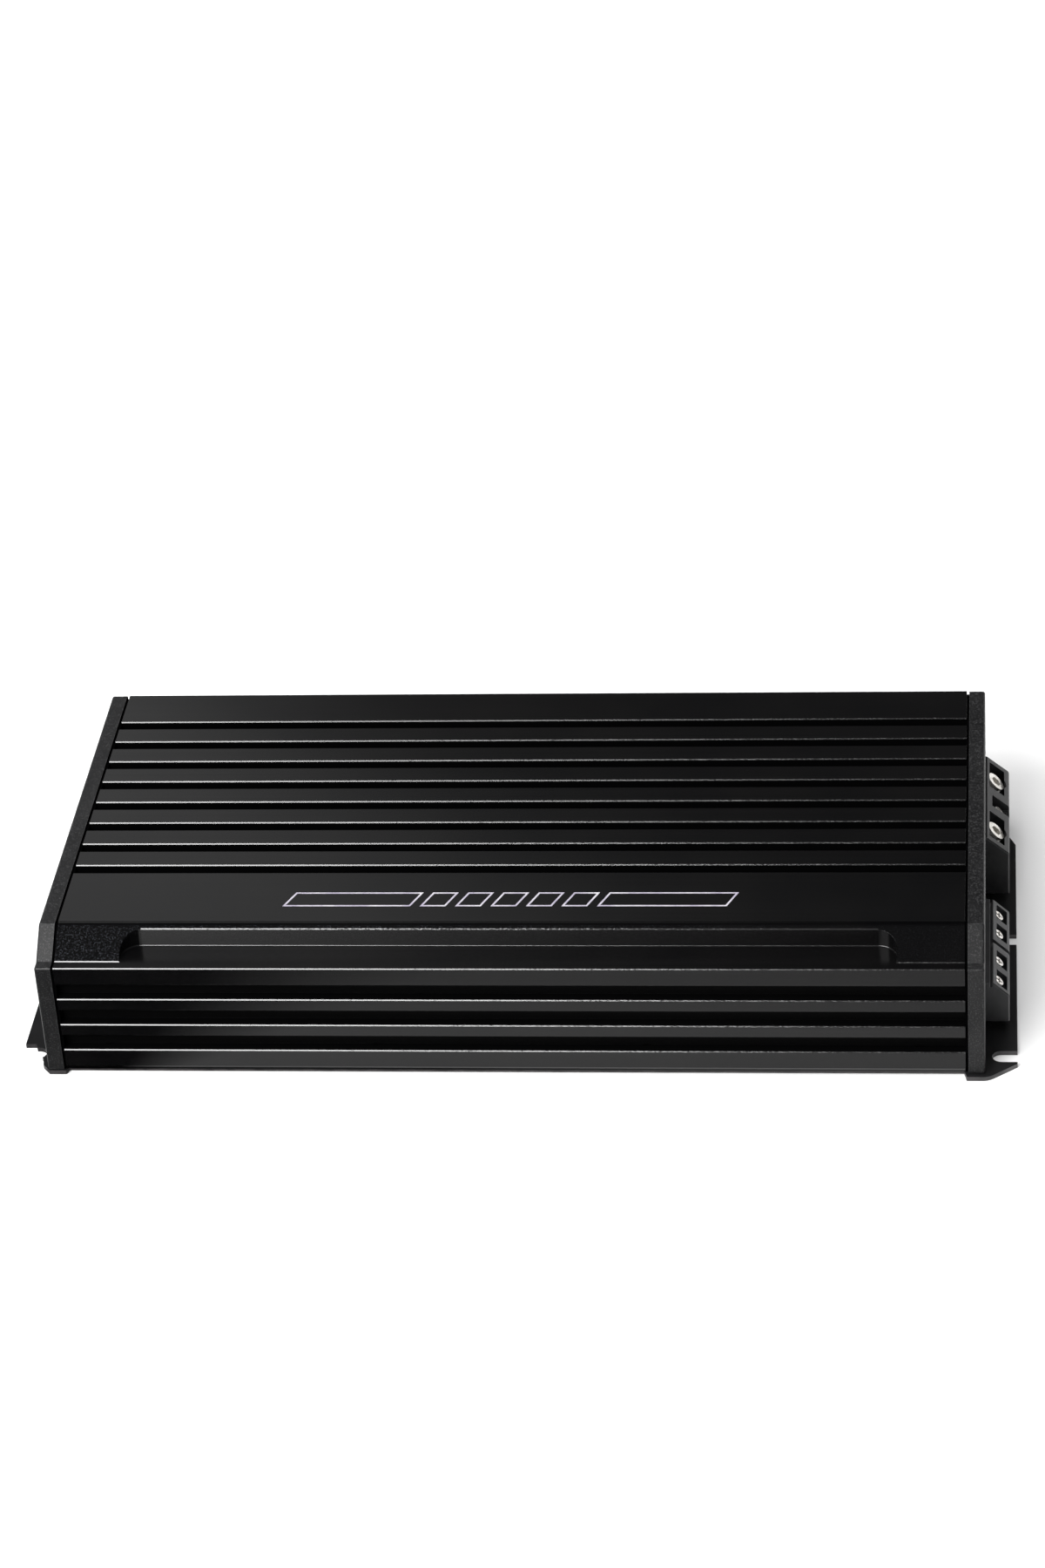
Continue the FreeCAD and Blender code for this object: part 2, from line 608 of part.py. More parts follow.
def build_end_caps():
    build_end_cap("right_end_cap", 1, [window(POWER_NECK_Y, POWER_NECK_Z),
                                       window(SPEAKER_NECK_Y, SPEAKER_NECK_Z)])
    openings = [(y, "control_z", "knob_radius + fit_gap / 2") for y in knob_places()]
    openings += [(y, "rca_z", "rca_radius + fit_gap * 2") for y in rca_places()]
    openings += [("led_y", z, "led_radius + fit_gap / 2") for z in led_heights()]
    for y in switch_places():
        openings.append(window(("%s - lever_width / 2" % y, "%s + lever_width / 2 + switch_travel" % y),
                               centred("control_z", "lever_high")))
    openings.append(window(("jack_y - jack_half", "jack_y + jack_half"),
                           (BOARD_TOP, BOARD_TOP + " + jack_high")))
    build_end_cap("left_end_cap", -1, openings)


# ---------------------------------------------------------------- mounting plate

def plate_end(side):
    """Corners of one end of the plate; the left end is the right one turned half round, but for a corner."""
    seat = "slot_inner + slot_width / 2"
    swept = [("ear_reach", "ear_corner"), ("ear_reach - 1.9", "ear_corner + 4.4"),
             (seat + " + 1.4", "slot_spacing - 1.6")]
    square = [("ear_reach", "ear_square"), (seat + " + 1.4", "ear_square")]
    right = [
        ("ear_root", "-ear_front"), ("ear_sweep", "-ear_front"),
        ("ear_reach", "-ear_front + ear_reach - ear_sweep - 1.8")]
    right += swept if side > 0 else square
    right += [
        (seat, "slot_spacing"), ("slot_inner + 0.6", "slot_spacing + slot_width / 2"),
        ("slot_inner", "slot_spacing + 6.2"), ("slot_inner - 2.5", "ear_tail"), ("ear_root", "ear_tail")]
    return [(signed(side, "(%s)" % x), "%s - plate_shift" % signed(side, "(%s)" % y)) for x, y in right]


def slot_spots():
    """Depth positions of the three open slots in each ear."""
    return ["%g * slot_spacing - plate_shift" % step for step in (-1, 0, 1)]


def build_plate():
    body = new_body("mounting_sheet")
    main_x = "(body_length / 2 - 0.5)"
    main_y = "(body_depth / 2 - plate_inset)"
    outline = [("-" + main_x, "-" + main_y), (main_x, "-" + main_y)] + plate_end(1)
    outline += [(main_x, main_y), ("-" + main_x, main_y)] + plate_end(-1)
    pad(body, sketch(body, "XY_Plane", [outline]), "plate_thick")

    def swept_corner(edge):
        middle = edge.CenterOfMass
        upright = edge.BoundBox.XLength < 0.01 and edge.BoundBox.YLength < 0.01
        return upright and abs(abs(middle.x) - size("ear_sweep")) < 0.01

    soften(body, "Fillet", "ear_round", swept_corner)
    slot_in = "(slot_inner + slot_width / 2)"
    rounds = [(signed(side, slot_in), y, "slot_width / 2") for side in (-1, 1) for y in slot_spots()]
    pocket(body, sketch(body, "XY_Plane", rounds))
    mouths = [rectangle((signed(side, slot_in), signed(side, "(ear_reach + 1)")),
                        ("%s - slot_width / 2" % y, "%s + slot_width / 2" % y))
              for side in (-1, 1) for y in slot_spots()]
    pocket(body, sketch(body, "XY_Plane", mouths))
    holes = [(x, y, "screw_pass") for x, y in plate_screw_spots()]
    pocket(body, sketch(body, "XY_Plane", holes))

    soften(body, "Chamfer", "screw_sink",
           lambda edge: is_rim(edge, "screw_pass") and abs(edge.BoundBox.ZMin) < 0.01)
    node(body, "mounting_plate")


# ---------------------------------------------------------------- screws that hold the casing

def build_fasteners():
    sunk = screw("countersunk_screw", "screw_head", "screw_shank + screw_flare", "screw_shank", "screw_sink",
                 "screw_length", cross("cross_arm", "cross_half"), "cross_deep")
    for side, label, turn in ((-1, "left_cap_screws", TO_LEFT), (1, "right_cap_screws", TO_RIGHT)):
        places = [spot(signed(side, CAP_FACE), y, z, turn) for y, z in cap_screw_spots()]
        node(copies(label, sunk, places), label)
    short = screw("plate_screw", "screw_head", "screw_shank + screw_flare", "screw_shank", "screw_sink",
                  "plate_screw_length", cross("cross_arm", "cross_half"), "cross_deep")
    places = [spot(x, y, "0", UPSIDE_DOWN) for x, y in plate_screw_spots()]
    node(copies("plate_screws", short, places), "plate_screws")
    small = screw("small_screw", "small_head", "small_head", "small_shank", "small_head_high",
                  "board_screw_length", cross("small_arm", "small_half"), "small_deep")
    places = [spot(x, y, BOARD_TOP + " + small_head_high") for x, y in board_screw_spots()]
    node(copies("board_screws", small, places), "board_screws")
    wall = screw("clamp_bar_screw", "small_head", "small_head", "small_shank", "small_head_high",
                 "bar_screw_length", cross("small_arm", "small_half"), "small_deep")
    seat = "(body_depth / 2 - wall_thick - pad_thick - device_thick - bar_thick - small_head_high)"
    places = []
    for side, turn, devices in ((-1, TO_BACK, OUTPUT_DEVICES), (1, TO_FRONT, SUPPLY_DEVICES),
                                (1, TO_FRONT, RECTIFIERS)):
        places += [spot(x, signed(side, seat), "clamp_z", turn) for x in bar_screw_places(devices)]
    node(copies("clamp_bar_screws", wall, places), "clamp_bar_screws")


# ---------------------------------------------------------------- wire terminals

def side_profile(name, corners, width, middle, break_from):
    """A profile in X and Z, drawn out evenly along Y, its outer edges broken beyond break_from in X."""
    body = new_body(name)
    pad(body, sketch(body, "XZ_Plane", [corners]), width, both_ways=True)
    soften(body, "Chamfer", "terminal_break", lambda edge: edge.CenterOfMass.x > size(break_from))
    return locate(body, y=middle)


def slanted_rod(name, radius, length, x, y, z):
    """A rod going down and inwards from a point on the terminal's slanted face."""
    return rod(name, radius, length, "%s - %s * 0.70711" % (x, length), y, "%s - %s * 0.70711" % (z, length),
               SLANTED)


POWER_BAYS = ["power_mid - power_pitch / 2", "power_mid + power_pitch / 2"]
SPEAKER_BAYS = ["speaker_mid - speaker_gap / 2 - speaker_pitch", "speaker_mid - speaker_gap / 2",
                "speaker_mid + speaker_gap / 2", "speaker_mid + speaker_gap / 2 + speaker_pitch"]


def screw_spot(kind, y, lift="0"):
    """The x, y, z of the top of a set screw, or of a point above it along its slanted axis."""
    return "%s_screw_x + %s" % (kind, lift), y, "%s_screw_z + %s" % (kind, lift)


def clamp_span(kind):
    return ("clamp_in", "%s_wall - fit_gap / 2" % kind), ("%s_clamp_low" % kind, "%s_clamp_high" % kind)


def clamp_seat(name, kind, y):
    """The hollow that a clamp block sits in."""
    return block(name + "_seat", ("terminal_in - overcut", "%s_wall + fit_gap / 2" % kind),
                 widened(centred(y, kind + "_clamp")), widened(clamp_span(kind)[1]))


def clamp_block(name, kind, y, wire_z, thread, thread_length):
    """A metal block with a wire bore along X and a slanted screw hole down into it."""
    along, upright = clamp_span(kind)
    solid = block(name, along, centred(y, kind + "_clamp"), upright)
    bore = rod(name + "_bore", kind + "_wire", "%s_wall - %s_wire_stop" % (kind, kind),
               kind + "_wire_stop", y, wire_z, TO_RIGHT)
    hole = slanted_rod(name + "_thread", thread + " + turn_gap", thread_length, *screw_spot(kind, y))
    return cut(name + "_drilled", solid, [bore, hole])


def wire_mouth(name, kind, wider, y, wire_z):
    """The round hole in the terminal's outer wall that a wire goes in by."""
    return rod(name + "_mouth", kind + "_wire + " + wider, "3", kind + "_bay_out - 0.5", y, wire_z, TO_RIGHT)


def build_power_terminal():
    shell = fuse("power_shell", [
        side_profile("power_front", [
            (CAP_FACE, "power_low"), ("power_out", "power_low"), ("power_out", "power_face_low"),
            (CAP_FACE + " + face_lip", "power_face_top"), (CAP_FACE, "power_face_top")],
            "power_width", "power_mid", CAP_FACE + " + overcut"),
        block("power_neck", ("terminal_in", CAP_FACE), POWER_NECK_Y, POWER_NECK_Z)])
    above = "power_face_top + 5"
    tools = []
    for number, y in enumerate(POWER_BAYS):
        name = "power_bay_%d" % number
        tools += [
            block(name + "_pit", ("power_wall", "power_bay_out"), centred(y, "power_bay"),
                  ("power_bay_floor", above)),
            clamp_seat(name, "power", y),
            slanted_rod(name + "_access", "power_head + screw_clear", "9", *screw_spot("power", y, "2.1")),
            slanted_rod(name + "_passage", "power_screw + screw_clear", "10", *screw_spot("power", y)),
            wire_mouth(name, "power", "0.4", y, "power_wire_z")]
    # the remote turn-on terminal between the two large ones is set back below the slanted face
    tools += [
        block("remote_shelf", ("remote_step_in", "power_out + overcut"), centred("power_mid", "remote_step"),
              ("remote_step_z", above)),
        block("remote_pit", ("remote_wall", "remote_bay_out"), centred("power_mid", "remote_bay"),
              ("power_bay_floor", "remote_step_z + overcut")),
        clamp_seat("remote", "remote", "power_mid"),
        slanted_rod("remote_passage", "speaker_screw + screw_clear", "10.6",
                    *screw_spot("remote", "power_mid", "0.7")),
        wire_mouth("remote", "remote", "0.2", "power_mid", "power_wire_z")]
    node(cut("power_block", shell, tools), "power_terminal_housing")
    blocks = [clamp_block("power_clamp_%d" % number, "power", y, "power_wire_z", "power_screw",
                          "power_thread") for number, y in enumerate(POWER_BAYS)]
    node(group("power_clamps", blocks), "power_clamp_blocks")
    node(clamp_block("remote_clamp", "remote", "power_mid", "power_wire_z", "speaker_screw",
                     "remote_thread"), "remote_clamp_block")


def build_speaker_terminal():
    groove_floor = "speaker_face_top - speaker_rim_deep"
    groove_end = "speaker_rim + speaker_rim_gap"
    shell = fuse("speaker_shell", [
        side_profile("speaker_front", [
            (CAP_FACE, "power_low"), ("speaker_out", "power_low"), ("speaker_out", "speaker_face_low"),
            ("speaker_face_in", "speaker_face_top"), (groove_end, "speaker_face_top"),
            (groove_end, groove_floor), ("speaker_rim", groove_floor),
            ("speaker_rim", "speaker_face_top"), (CAP_FACE, "speaker_face_top")],
            "speaker_width", "speaker_mid", "speaker_face_in + overcut"),
        block("speaker_neck", ("terminal_in", CAP_FACE), SPEAKER_NECK_Y, SPEAKER_NECK_Z)])
    above = "speaker_face_top + overcut"
    tools = [block("speaker_slit", ("speaker_face_in - terminal_break", "speaker_out + overcut"),
                   centred("speaker_mid", "speaker_divider"), ("power_bay_floor + overcut", above))]
    for number, y in enumerate(SPEAKER_BAYS):
        name = "speaker_bay_%d" % number
        tools += [
            block(name + "_pit", ("speaker_wall", "speaker_bay_out"), centred(y, "speaker_bay"),
                  ("speaker_bay_floor", above)),
            clamp_seat(name, "speaker", y),
            slanted_rod(name + "_passage", "speaker_screw + screw_clear", "8.7",
                        *screw_spot("speaker", y, "1.1")),
            wire_mouth(name, "speaker", "0.3", y, "speaker_wire_z")]
    node(cut("speaker_block", shell, tools), "speaker_terminal_housing")
    blocks = [clamp_block("speaker_clamp_%d" % number, "speaker", y, "speaker_wire_z", "speaker_screw",
                          "speaker_thread") for number, y in enumerate(SPEAKER_BAYS)]
    node(group("speaker_clamps", blocks), "speaker_clamp_blocks")


def build_clamp_screws():
    """The screws that the installer turns; each is its own moving piece."""
    large = screw("power_set_screw", "power_head", "power_head", "power_screw", "power_head_high",
                  "power_screw_length", hexagon("hex_radius"), "hex_deep")
    small, small_long = [
        screw(kind + "_set_screw", "speaker_screw", "speaker_screw", "speaker_screw", "set_top",
              kind + "_screw_length", cross("set_arm", "set_half"), "set_deep")
        for kind in ("speaker", "remote")]
    for label, y in zip(("negative_clamp_screw", "positive_clamp_screw"), POWER_BAYS):
        node(copies(label, large, [spot(*screw_spot("power", y), SLANTED)]), label)
    place = spot(*screw_spot("remote", "power_mid"), SLANTED)
    node(copies("remote_clamp_screw", small_long, [place]), "remote_clamp_screw")
    for number, y in enumerate(SPEAKER_BAYS, start=1):
        label = "speaker_clamp_screw_%d" % number
        node(copies(label, small, [spot(*screw_spot("speaker", y), SLANTED)]), label)


# ---------------------------------------------------------------- controls and sockets

def build_knobs():
    tail = "-cap_thick - shaft_reach"
    knob = turned("knob_turning", [
        ("0", "0"), ("knob_radius - knob_bevel", "0"), ("knob_radius", "-knob_bevel"),
        ("knob_radius", "-knob_long"), ("shaft_radius", "-knob_long"), ("shaft_radius", tail), ("0", tail)])
    slot = rectangle(("-knob_slot_half", "knob_slot_half"), ("-knob_slot_arm", "knob_slot_arm"))
    pocket(knob, sketch(knob, "XY_Plane", [slot]), "knob_slot_deep")
    labels = ("input_gain_knob", "low_pass_knob", "subsonic_knob", "bass_boost_knob")
    pots = []
    for number, (label, y) in enumerate(zip(labels, knob_places())):
        place = spot("-%s - knob_proud" % CAP_FACE, y, "control_z", TO_LEFT)
        node(copies(label, knob, [place]), label)
        name = "potentiometer_%d" % number
        solid = block(name, ("-pot_face", "-pot_face + pot_deep"), centred(y, "pot_width"),
                      (BOARD_TOP, BOARD_TOP + " + pot_high"))
        socket = rod(name + "_socket", "shaft_radius + turn_gap", "pot_socket", "-pot_face - overcut", y,
                     "control_z", TO_RIGHT)
        pots.append(cut(name + "_bored", solid, [socket]))
    node(group("pots", pots), "potentiometers")


def build_switches():
    cases = []
    upright = centred("control_z", "lever_high")
    for number, (y, label) in enumerate(zip(switch_places(), ("filter_switch_lever", "level_switch_lever"))):
        name = "slide_switch_%d" % number
        lever = centred(y, "lever_width")
        travel = (lever[0], lever[1] + " + switch_travel")
        case = block(name, ("-pot_face", "-pot_face + switch_deep"), widened(travel, "switch_side"),
                     (BOARD_TOP, BOARD_TOP + " + switch_high"))
        track = block(name + "_track", ("-pot_face - overcut", "-pot_face + slide_deep"),
                      widened(travel, "slide_gap"), widened(upright, "slide_gap"))
        cases.append(cut(name + "_case", case, [track]))
        node(block(name + "_lever", ("-%s - lever_proud" % CAP_FACE, "-pot_face + lever_tail"), lever,
                   upright), label)
    node(group("switch_cases", cases), "slide_switch_cases")


def build_light_pipes():
    for z, label in zip(led_heights(), ("power_led", "protect_led")):
        stem = rod(label + "_stem", "led_radius", "led_long", "-pot_face + led_foot", "led_y", z, TO_LEFT)
        dome = ball(label + "_dome", "led_radius", "-%s - led_dome" % CAP_FACE, "led_y", z)
        node(fuse(label + "_pipe", [stem, dome]), label)


def build_level_jack():
    """The socket that a wired bass control plugs into."""
    beyond = "-body_length / 2 - jack_proud - overcut"
    case = block("level_jack_case", ("-body_length / 2 - jack_proud", "-socket_in"),
                 widened(("jack_y", "jack_y"), "jack_half"), above_board("0", "jack_high"))
    mouth = block("level_jack_mouth", (beyond, "-jack_mouth_in"),
                  widened(("jack_y", "jack_y"), "jack_mouth_half"),
                  above_board("jack_mouth_low", "jack_mouth_high"))
    latch = block("level_jack_latch", (beyond, "-latch_in"), widened(("jack_y", "jack_y"), "latch_half"),
                  above_board("jack_mouth_high - slide_gap", "latch_high"))
    node(cut("level_jack", case, [mouth, latch]), "remote_level_jack")
    pins = []
    for number in range(4):
        side = "jack_y - pin_first + %d * pin_pitch" % number
        pins.append(block("jack_pin_%d" % number, ("-body_length / 2", "-jack_mouth_in"),
                          (side, side + " + pin_thick"),
                          above_board("jack_mouth_low", "jack_mouth_low + pin_thick")))
    node(group("jack_pins", pins), "level_jack_contacts")


def build_signal_inputs():
    """Two phono inputs: a housing on the board, then sleeve, insulator and centre contact for each."""
    half = "rca_pitch / 2"
    case = block("rca_case", ("-rca_base", "-socket_in"),
                 ("rca_first - %s" % half, "rca_first + 3 * %s" % half), (BOARD_TOP, "rca_z + rca_case_top"))
    wells = [rod("rca_well_%d" % number, "rca_well", "rca_well_deep", "-rca_base - rca_wall", y, "rca_z",
                 TO_RIGHT) for number, y in enumerate(rca_places())]
    node(cut("rca_block", case, wells), "rca_jack_housing")
    reach = "(rca_base_gap + cap_thick + rca_length)"
    shells = []
    insulators = []
    contacts = []
    for number, y in enumerate(rca_places()):
        def tube(part, radius, length, start="-rca_base"):
            return rod("rca_%d_%s" % (number, part), radius, length, start, y, "rca_z", TO_LEFT)

        shell = fuse("rca_%d_shell" % number, [
            tube("tip", "rca_radius", reach),
            tube("collar", "rca_radius + rca_collar", "rca_base_gap + cap_thick")])
        hollow = tube("hollow", "rca_radius - rca_wall", reach + " + overcut")
        shells.append(cut("rca_%d_sleeve" % number, shell, [hollow]))
        plug = tube("plug", "rca_radius - rca_wall - rca_slack", reach + " - rca_tip_step")
        insulators.append(cut("rca_%d_insulator" % number, plug, [tube("way", "rca_contact_way", reach)]))
        pin = tube("pin", "rca_contact", reach + " - 2 * rca_tip_step", "-rca_base + 2 * rca_tip_step")
        bore = tube("bore", "rca_contact_bore", reach, "-rca_base + rca_tip_step / 2")
        contacts.append(cut("rca_%d_contact" % number, pin, [bore]))
    node(group("rca_shells", shells), "rca_ground_sleeves")
    node(group("rca_insulators", insulators), "rca_insulator_rings")
    node(group("rca_contacts", contacts), "rca_centre_contacts")


# ---------------------------------------------------------------- electronics inside

def build_board():
    half_x = "board_length / 2"
    half_y = "board_depth / 2"
    sheet_body = new_body("board_laminate")
    outline = rectangle(("-" + half_x, half_x), ("-" + half_y, half_y))
    pad(sheet_body, sketch(sheet_body, "XY_Plane", [outline], "board_base"), "board_thick")
    holes = [(x, y, "small_bore + 0.15") for x, y in board_screw_spots()]
    pocket(sheet_body, sketch(sheet_body, "XY_Plane", holes))
    node(sheet_body, "main_circuit_board")


def board_block(name, x, y, high, from_board="0"):
    return block(name, x, y, above_board(from_board, "%s + %s" % (from_board, high)))


def wall_device(name, x, side):
    """One power device: metal tab against the wall, moulded case and three legs down to the board."""
    def depth(inner, outer):
        pair = ["(body_depth / 2 - wall_thick - pad_thick - %s)" % text for text in (inner, outer)]
        return (pair[0], pair[1]) if side > 0 else ("-" + pair[1], "-" + pair[0])

    across = centred("(%s)" % x, "device_width")
    tab = block(name + "_tab", across, depth("tab_thick", "0"), ("case_low", "tab_high"))
    case = block(name + "_case", across, depth("device_thick", "tab_thick"), ("case_low", "case_high"))
    legs = [block("%s_leg_%d" % (name, number), centred("(%s + %g)" % (x, shift), "leg_width"),
                  depth("leg_inner", "leg_outer"), (BOARD_TOP, "case_low + overcut"))
            for number, shift in enumerate((-2.54, 0, 2.54))]
    eyelet = rod(name + "_eye", "eyelet_radius", "wall_thick * 2", x,
                 signed(side, "(body_depth / 2 - 2 * wall_thick)"), "tab_high - eyelet_drop",
                 TO_BACK if side > 0 else TO_FRONT)
    return cut(name, fuse(name + "_joined", [tab, case] + legs), [eyelet])


def build_devices():
    rows = (("output_transistors", OUTPUT_DEVICES, -1), ("supply_transistors", SUPPLY_DEVICES, 1),
            ("rectifier_diodes", RECTIFIERS, 1))
    pads = []
    bars = []
    for label, places, side in rows:
        devices = [wall_device("%s_%d" % (label, number), x, side) for number, x in enumerate(places)]
        node(group(label + "_row", devices), label)
        wall = signed(side, INNER_WALL)
        inner = signed(side, "(body_depth / 2 - wall_thick - pad_thick)")
        pad_depth = (inner, wall) if side > 0 else (wall, inner)
        pads += [block("%s_pad_%d" % (label, number), centred("(%s)" % x, "device_width + 1"), pad_depth,
                       ("case_low - 0.5", "tab_high")) for number, x in enumerate(places)]
        near = signed(side, "(body_depth / 2 - wall_thick - pad_thick - device_thick)")
        far = signed(side, "(body_depth / 2 - wall_thick - pad_thick - device_thick - bar_thick)")
        bar = block(label + "_bar", (places[0] + " - bar_overhang", places[-1] + " + bar_overhang"),
                    (far, near) if side > 0 else (near, far),
                    ("clamp_z - bar_high / 2", "clamp_z + bar_high / 2"))
        start = signed(side, "(body_depth / 2 - 2 * wall_thick)")
        holes = [rod("%s_bar_hole_%d" % (label, number), "bar_hole", "wall_thick", x, start, "clamp_z",
                     TO_BACK if side > 0 else TO_FRONT)
                 for number, x in enumerate(bar_screw_places(places))]
        bars.append(cut(label + "_bar_drilled", bar, holes))
    node(group("pads", pads), "insulating_pads")
    node(group("bars", bars), "transistor_clamp_bars")


def toroid(label, middle, radius, core, wire, turns):
    """A ring core lying on the board with its separate wire turns."""
    x, y = middle
    z = "%s + %s + 2 * %s + 2 * coil_gap" % (BOARD_TOP, core, wire)
    core_ring = ring(label + "_ring", radius, core, x, y, z)
    coils = []
    for number in range(count(turns)):
        angle = 360.0 * number / count(turns)
        turn = FreeCAD.Rotation(UP, angle).multiply(FreeCAD.Rotation(RIGHT, 90))
        cos_text = "%.5f" % math.cos(math.radians(angle))
        sin_text = "%.5f" % math.sin(math.radians(angle))
        coils.append(ring("%s_turn_%d" % (label, number), "%s + %s + coil_gap" % (core, wire), wire,
                          "%s + %s * (%s)" % (x, radius, cos_text), "%s + %s * (%s)" % (y, radius, sin_text),
                          z, turn))
    return core_ring, coils


CHOKE_PLACES = ("-14", "-44")


def build_coils():
    core, coils = toroid("transformer", ("66", "32"), "toroid_radius", "toroid_core", "toroid_wire",
                         "toroid_turns")
    node(core, "transformer_core")
    node(group("transformer_coils", coils), "transformer_winding")
    cores = []
    coils = []
    for number, y in enumerate(CHOKE_PLACES):
        choke = toroid("choke_%d" % number, ("106", y), "choke_radius", "choke_core", "choke_wire",
                       "choke_turns")
        cores.append(choke[0])
        coils += choke[1]
    node(group("choke_cores", cores), "output_choke_cores")
    node(group("choke_coils", coils), "output_choke_windings")


def capacitor(name, x, y, radius, high):
    """A can capacitor with the pressed groove round its foot."""
    can = rod(name + "_can", radius, high, x, y, BOARD_TOP)
    groove = ring(name + "_groove", radius + " + can_groove / 2", "can_groove", x, y,
                  BOARD_TOP + " + can_groove_z")
    return cut(name, can, [groove])


def capacitors(name, kind, places):
    cans = [capacitor("%s_%d" % (name, number), x, y, kind + "_radius", kind + "_high")
            for number, (x, y) in enumerate(places)]
    return group(name + "s", cans)


def grid_places(first_x, first_y, step_x, step_y, number):
    """Places in rows of three: along X first, then the next row along Y."""
    return [(str(first_x + step_x * (n % 3)), str(first_y + step_y * (n // 3))) for n in range(number)]


def build_capacitors():
    node(capacitors("input_can", "input_cap", [("106", "56"), ("106", "42"), ("106", "28")]),
         "input_capacitors")
    node(capacitors("rail_can", "rail_cap", [("32", "46"), ("32", "28"), ("14", "46"), ("14", "28")]),
         "rail_capacitors")
    node(capacitors("coupling_can", "coupling_cap", grid_places(-72, -42, -16, 22, 9)),
         "coupling_capacitors")
    films = [board_block("film_cap_%d" % number, ("76", "86"), centred(y, "film_cap_length"),
                         "film_cap_high") for number, y in enumerate(CHOKE_PLACES)]
    node(group("film_caps", films), "film_capacitors")


def build_board_metal():
    """Flat conductors from the board's parts out to the wire terminals' clamps."""
    for label, places, start, kind in (("power_busbars", POWER_BAYS, "114", "busbar"),
                                       ("speaker_link_strips", SPEAKER_BAYS, "120", "link")):
        strips = [board_block("%s_%d" % (kind, number), (start, "terminal_in + strip_lap"),
                              centred("(%s)" % y, kind + "_width"), kind + "_thick")
                  for number, y in enumerate(places)]
        node(group(kind + "_strips", strips), label)


def build_small_parts():
    node(board_block("driver_card", ("-21.6", "-20"), ("-44", "4"), "card_high", "card_lift"),
         "driver_board")
    node(board_block("driver_header_strip", ("-22.2", "-19.4"), ("-40", "0"), "card_lift"),
         "driver_board_header")
    chips = [board_block("driver_chip_%d" % number, ("-20", "-18.3"), centred(y, "driver_chip_width"),
                         "driver_chip_high", "driver_chip_lift")
             for number, y in enumerate(("-34", "-20", "-6"))]
    node(group("driver_chips", chips), "driver_chips")
    signal = [board_block("signal_chip_%d" % number, centred(x, "signal_chip_long"),
                          centred(y, "signal_chip_wide"), "signal_chip_high")
              for number, (x, y) in enumerate(grid_places(-64, -30, -16, 22, 6))]
    node(group("signal_chips", signal), "preamp_chips")
    node(board_block("relay_case", ("-50", "-34"), ("24", "44"), "relay_high"), "mute_relay")
    node(rod("sensor_bead", "sensor_radius", "sensor_high", "94 + device_pitch * 1.2", "-58", BOARD_TOP),
         "thermal_sensor")


# ---------------------------------------------------------------- build, check, export

build_casing()
build_end_caps()
build_plate()
build_fasteners()
build_power_terminal()
build_speaker_terminal()
build_clamp_screws()
build_knobs()
build_switches()
build_light_pipes()
build_level_jack()
build_signal_inputs()
build_board()
build_devices()
build_coils()
build_capacitors()
build_board_metal()
build_small_parts()
doc.recompute()

for item in doc.Objects:
    if "Invalid" in item.State or "Error" in item.State:
        raise RuntimeError("%s is %s" % (item.Name, item.State))
for item in nodes:
    if item.Shape.isNull() or not item.Shape.isValid() or not item.Shape.Solids:
        raise RuntimeError("%s has no valid solid" % item.Label)

os.makedirs("parts", exist_ok=True)
for item in nodes:
    item.Shape.exportStep("parts/%s.step" % item.Label)
print(len(nodes), "pieces written")
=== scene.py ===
import math

import bmesh
import bpy
from mathutils import Matrix, Vector


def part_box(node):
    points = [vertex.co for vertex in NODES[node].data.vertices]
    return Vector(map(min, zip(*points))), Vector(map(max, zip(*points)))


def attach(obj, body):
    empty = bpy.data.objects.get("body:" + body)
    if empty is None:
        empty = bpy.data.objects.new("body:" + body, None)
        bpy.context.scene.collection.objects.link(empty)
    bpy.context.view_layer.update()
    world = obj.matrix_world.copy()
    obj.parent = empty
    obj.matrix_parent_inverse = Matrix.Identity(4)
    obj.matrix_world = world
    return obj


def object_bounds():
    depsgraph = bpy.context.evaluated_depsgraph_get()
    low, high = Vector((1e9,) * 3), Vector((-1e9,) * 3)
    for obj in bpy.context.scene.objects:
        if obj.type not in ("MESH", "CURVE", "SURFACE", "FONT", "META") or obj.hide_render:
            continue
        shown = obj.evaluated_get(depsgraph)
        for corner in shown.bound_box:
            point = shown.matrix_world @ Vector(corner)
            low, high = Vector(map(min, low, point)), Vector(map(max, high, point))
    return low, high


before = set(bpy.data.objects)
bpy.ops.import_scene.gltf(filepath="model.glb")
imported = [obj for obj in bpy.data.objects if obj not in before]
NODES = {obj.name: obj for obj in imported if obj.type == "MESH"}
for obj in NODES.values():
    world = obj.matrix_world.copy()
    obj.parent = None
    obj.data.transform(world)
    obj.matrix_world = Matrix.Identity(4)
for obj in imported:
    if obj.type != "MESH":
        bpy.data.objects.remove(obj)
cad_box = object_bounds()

# The looks of a car audio amplifier: materials for every CAD piece, a few surface details that have
# no function, a pale floor, soft studio light and one camera. Lengths are in metres.

MM = 0.001
KNOBS = ("input_gain_knob", "low_pass_knob", "subsonic_knob", "bass_boost_knob")
BLACK = (0.0, 0.0, 0.0, 1.0)
WHITE = (1.0, 1.0, 1.0, 1.0)
# near-black painted into grooves and shadow lines as painted shade
PAINTED_SHADE_BLACK = (0.0012, 0.0012, 0.0013)

# features of the extruded casing, measured down from its top, back from its front and out from its ends
SHOULDER_DROP = 7.45 * MM
RABBET_SETBACK = 14.2 * MM
BAND_SETBACK = 26.9 * MM
SHADOW_LINE = 0.85 * MM
SHOULDER_NORMAL = (0.0, -6.55, 10.05)
FOOT_NORMAL = (0.0, -1.9, -1.0)

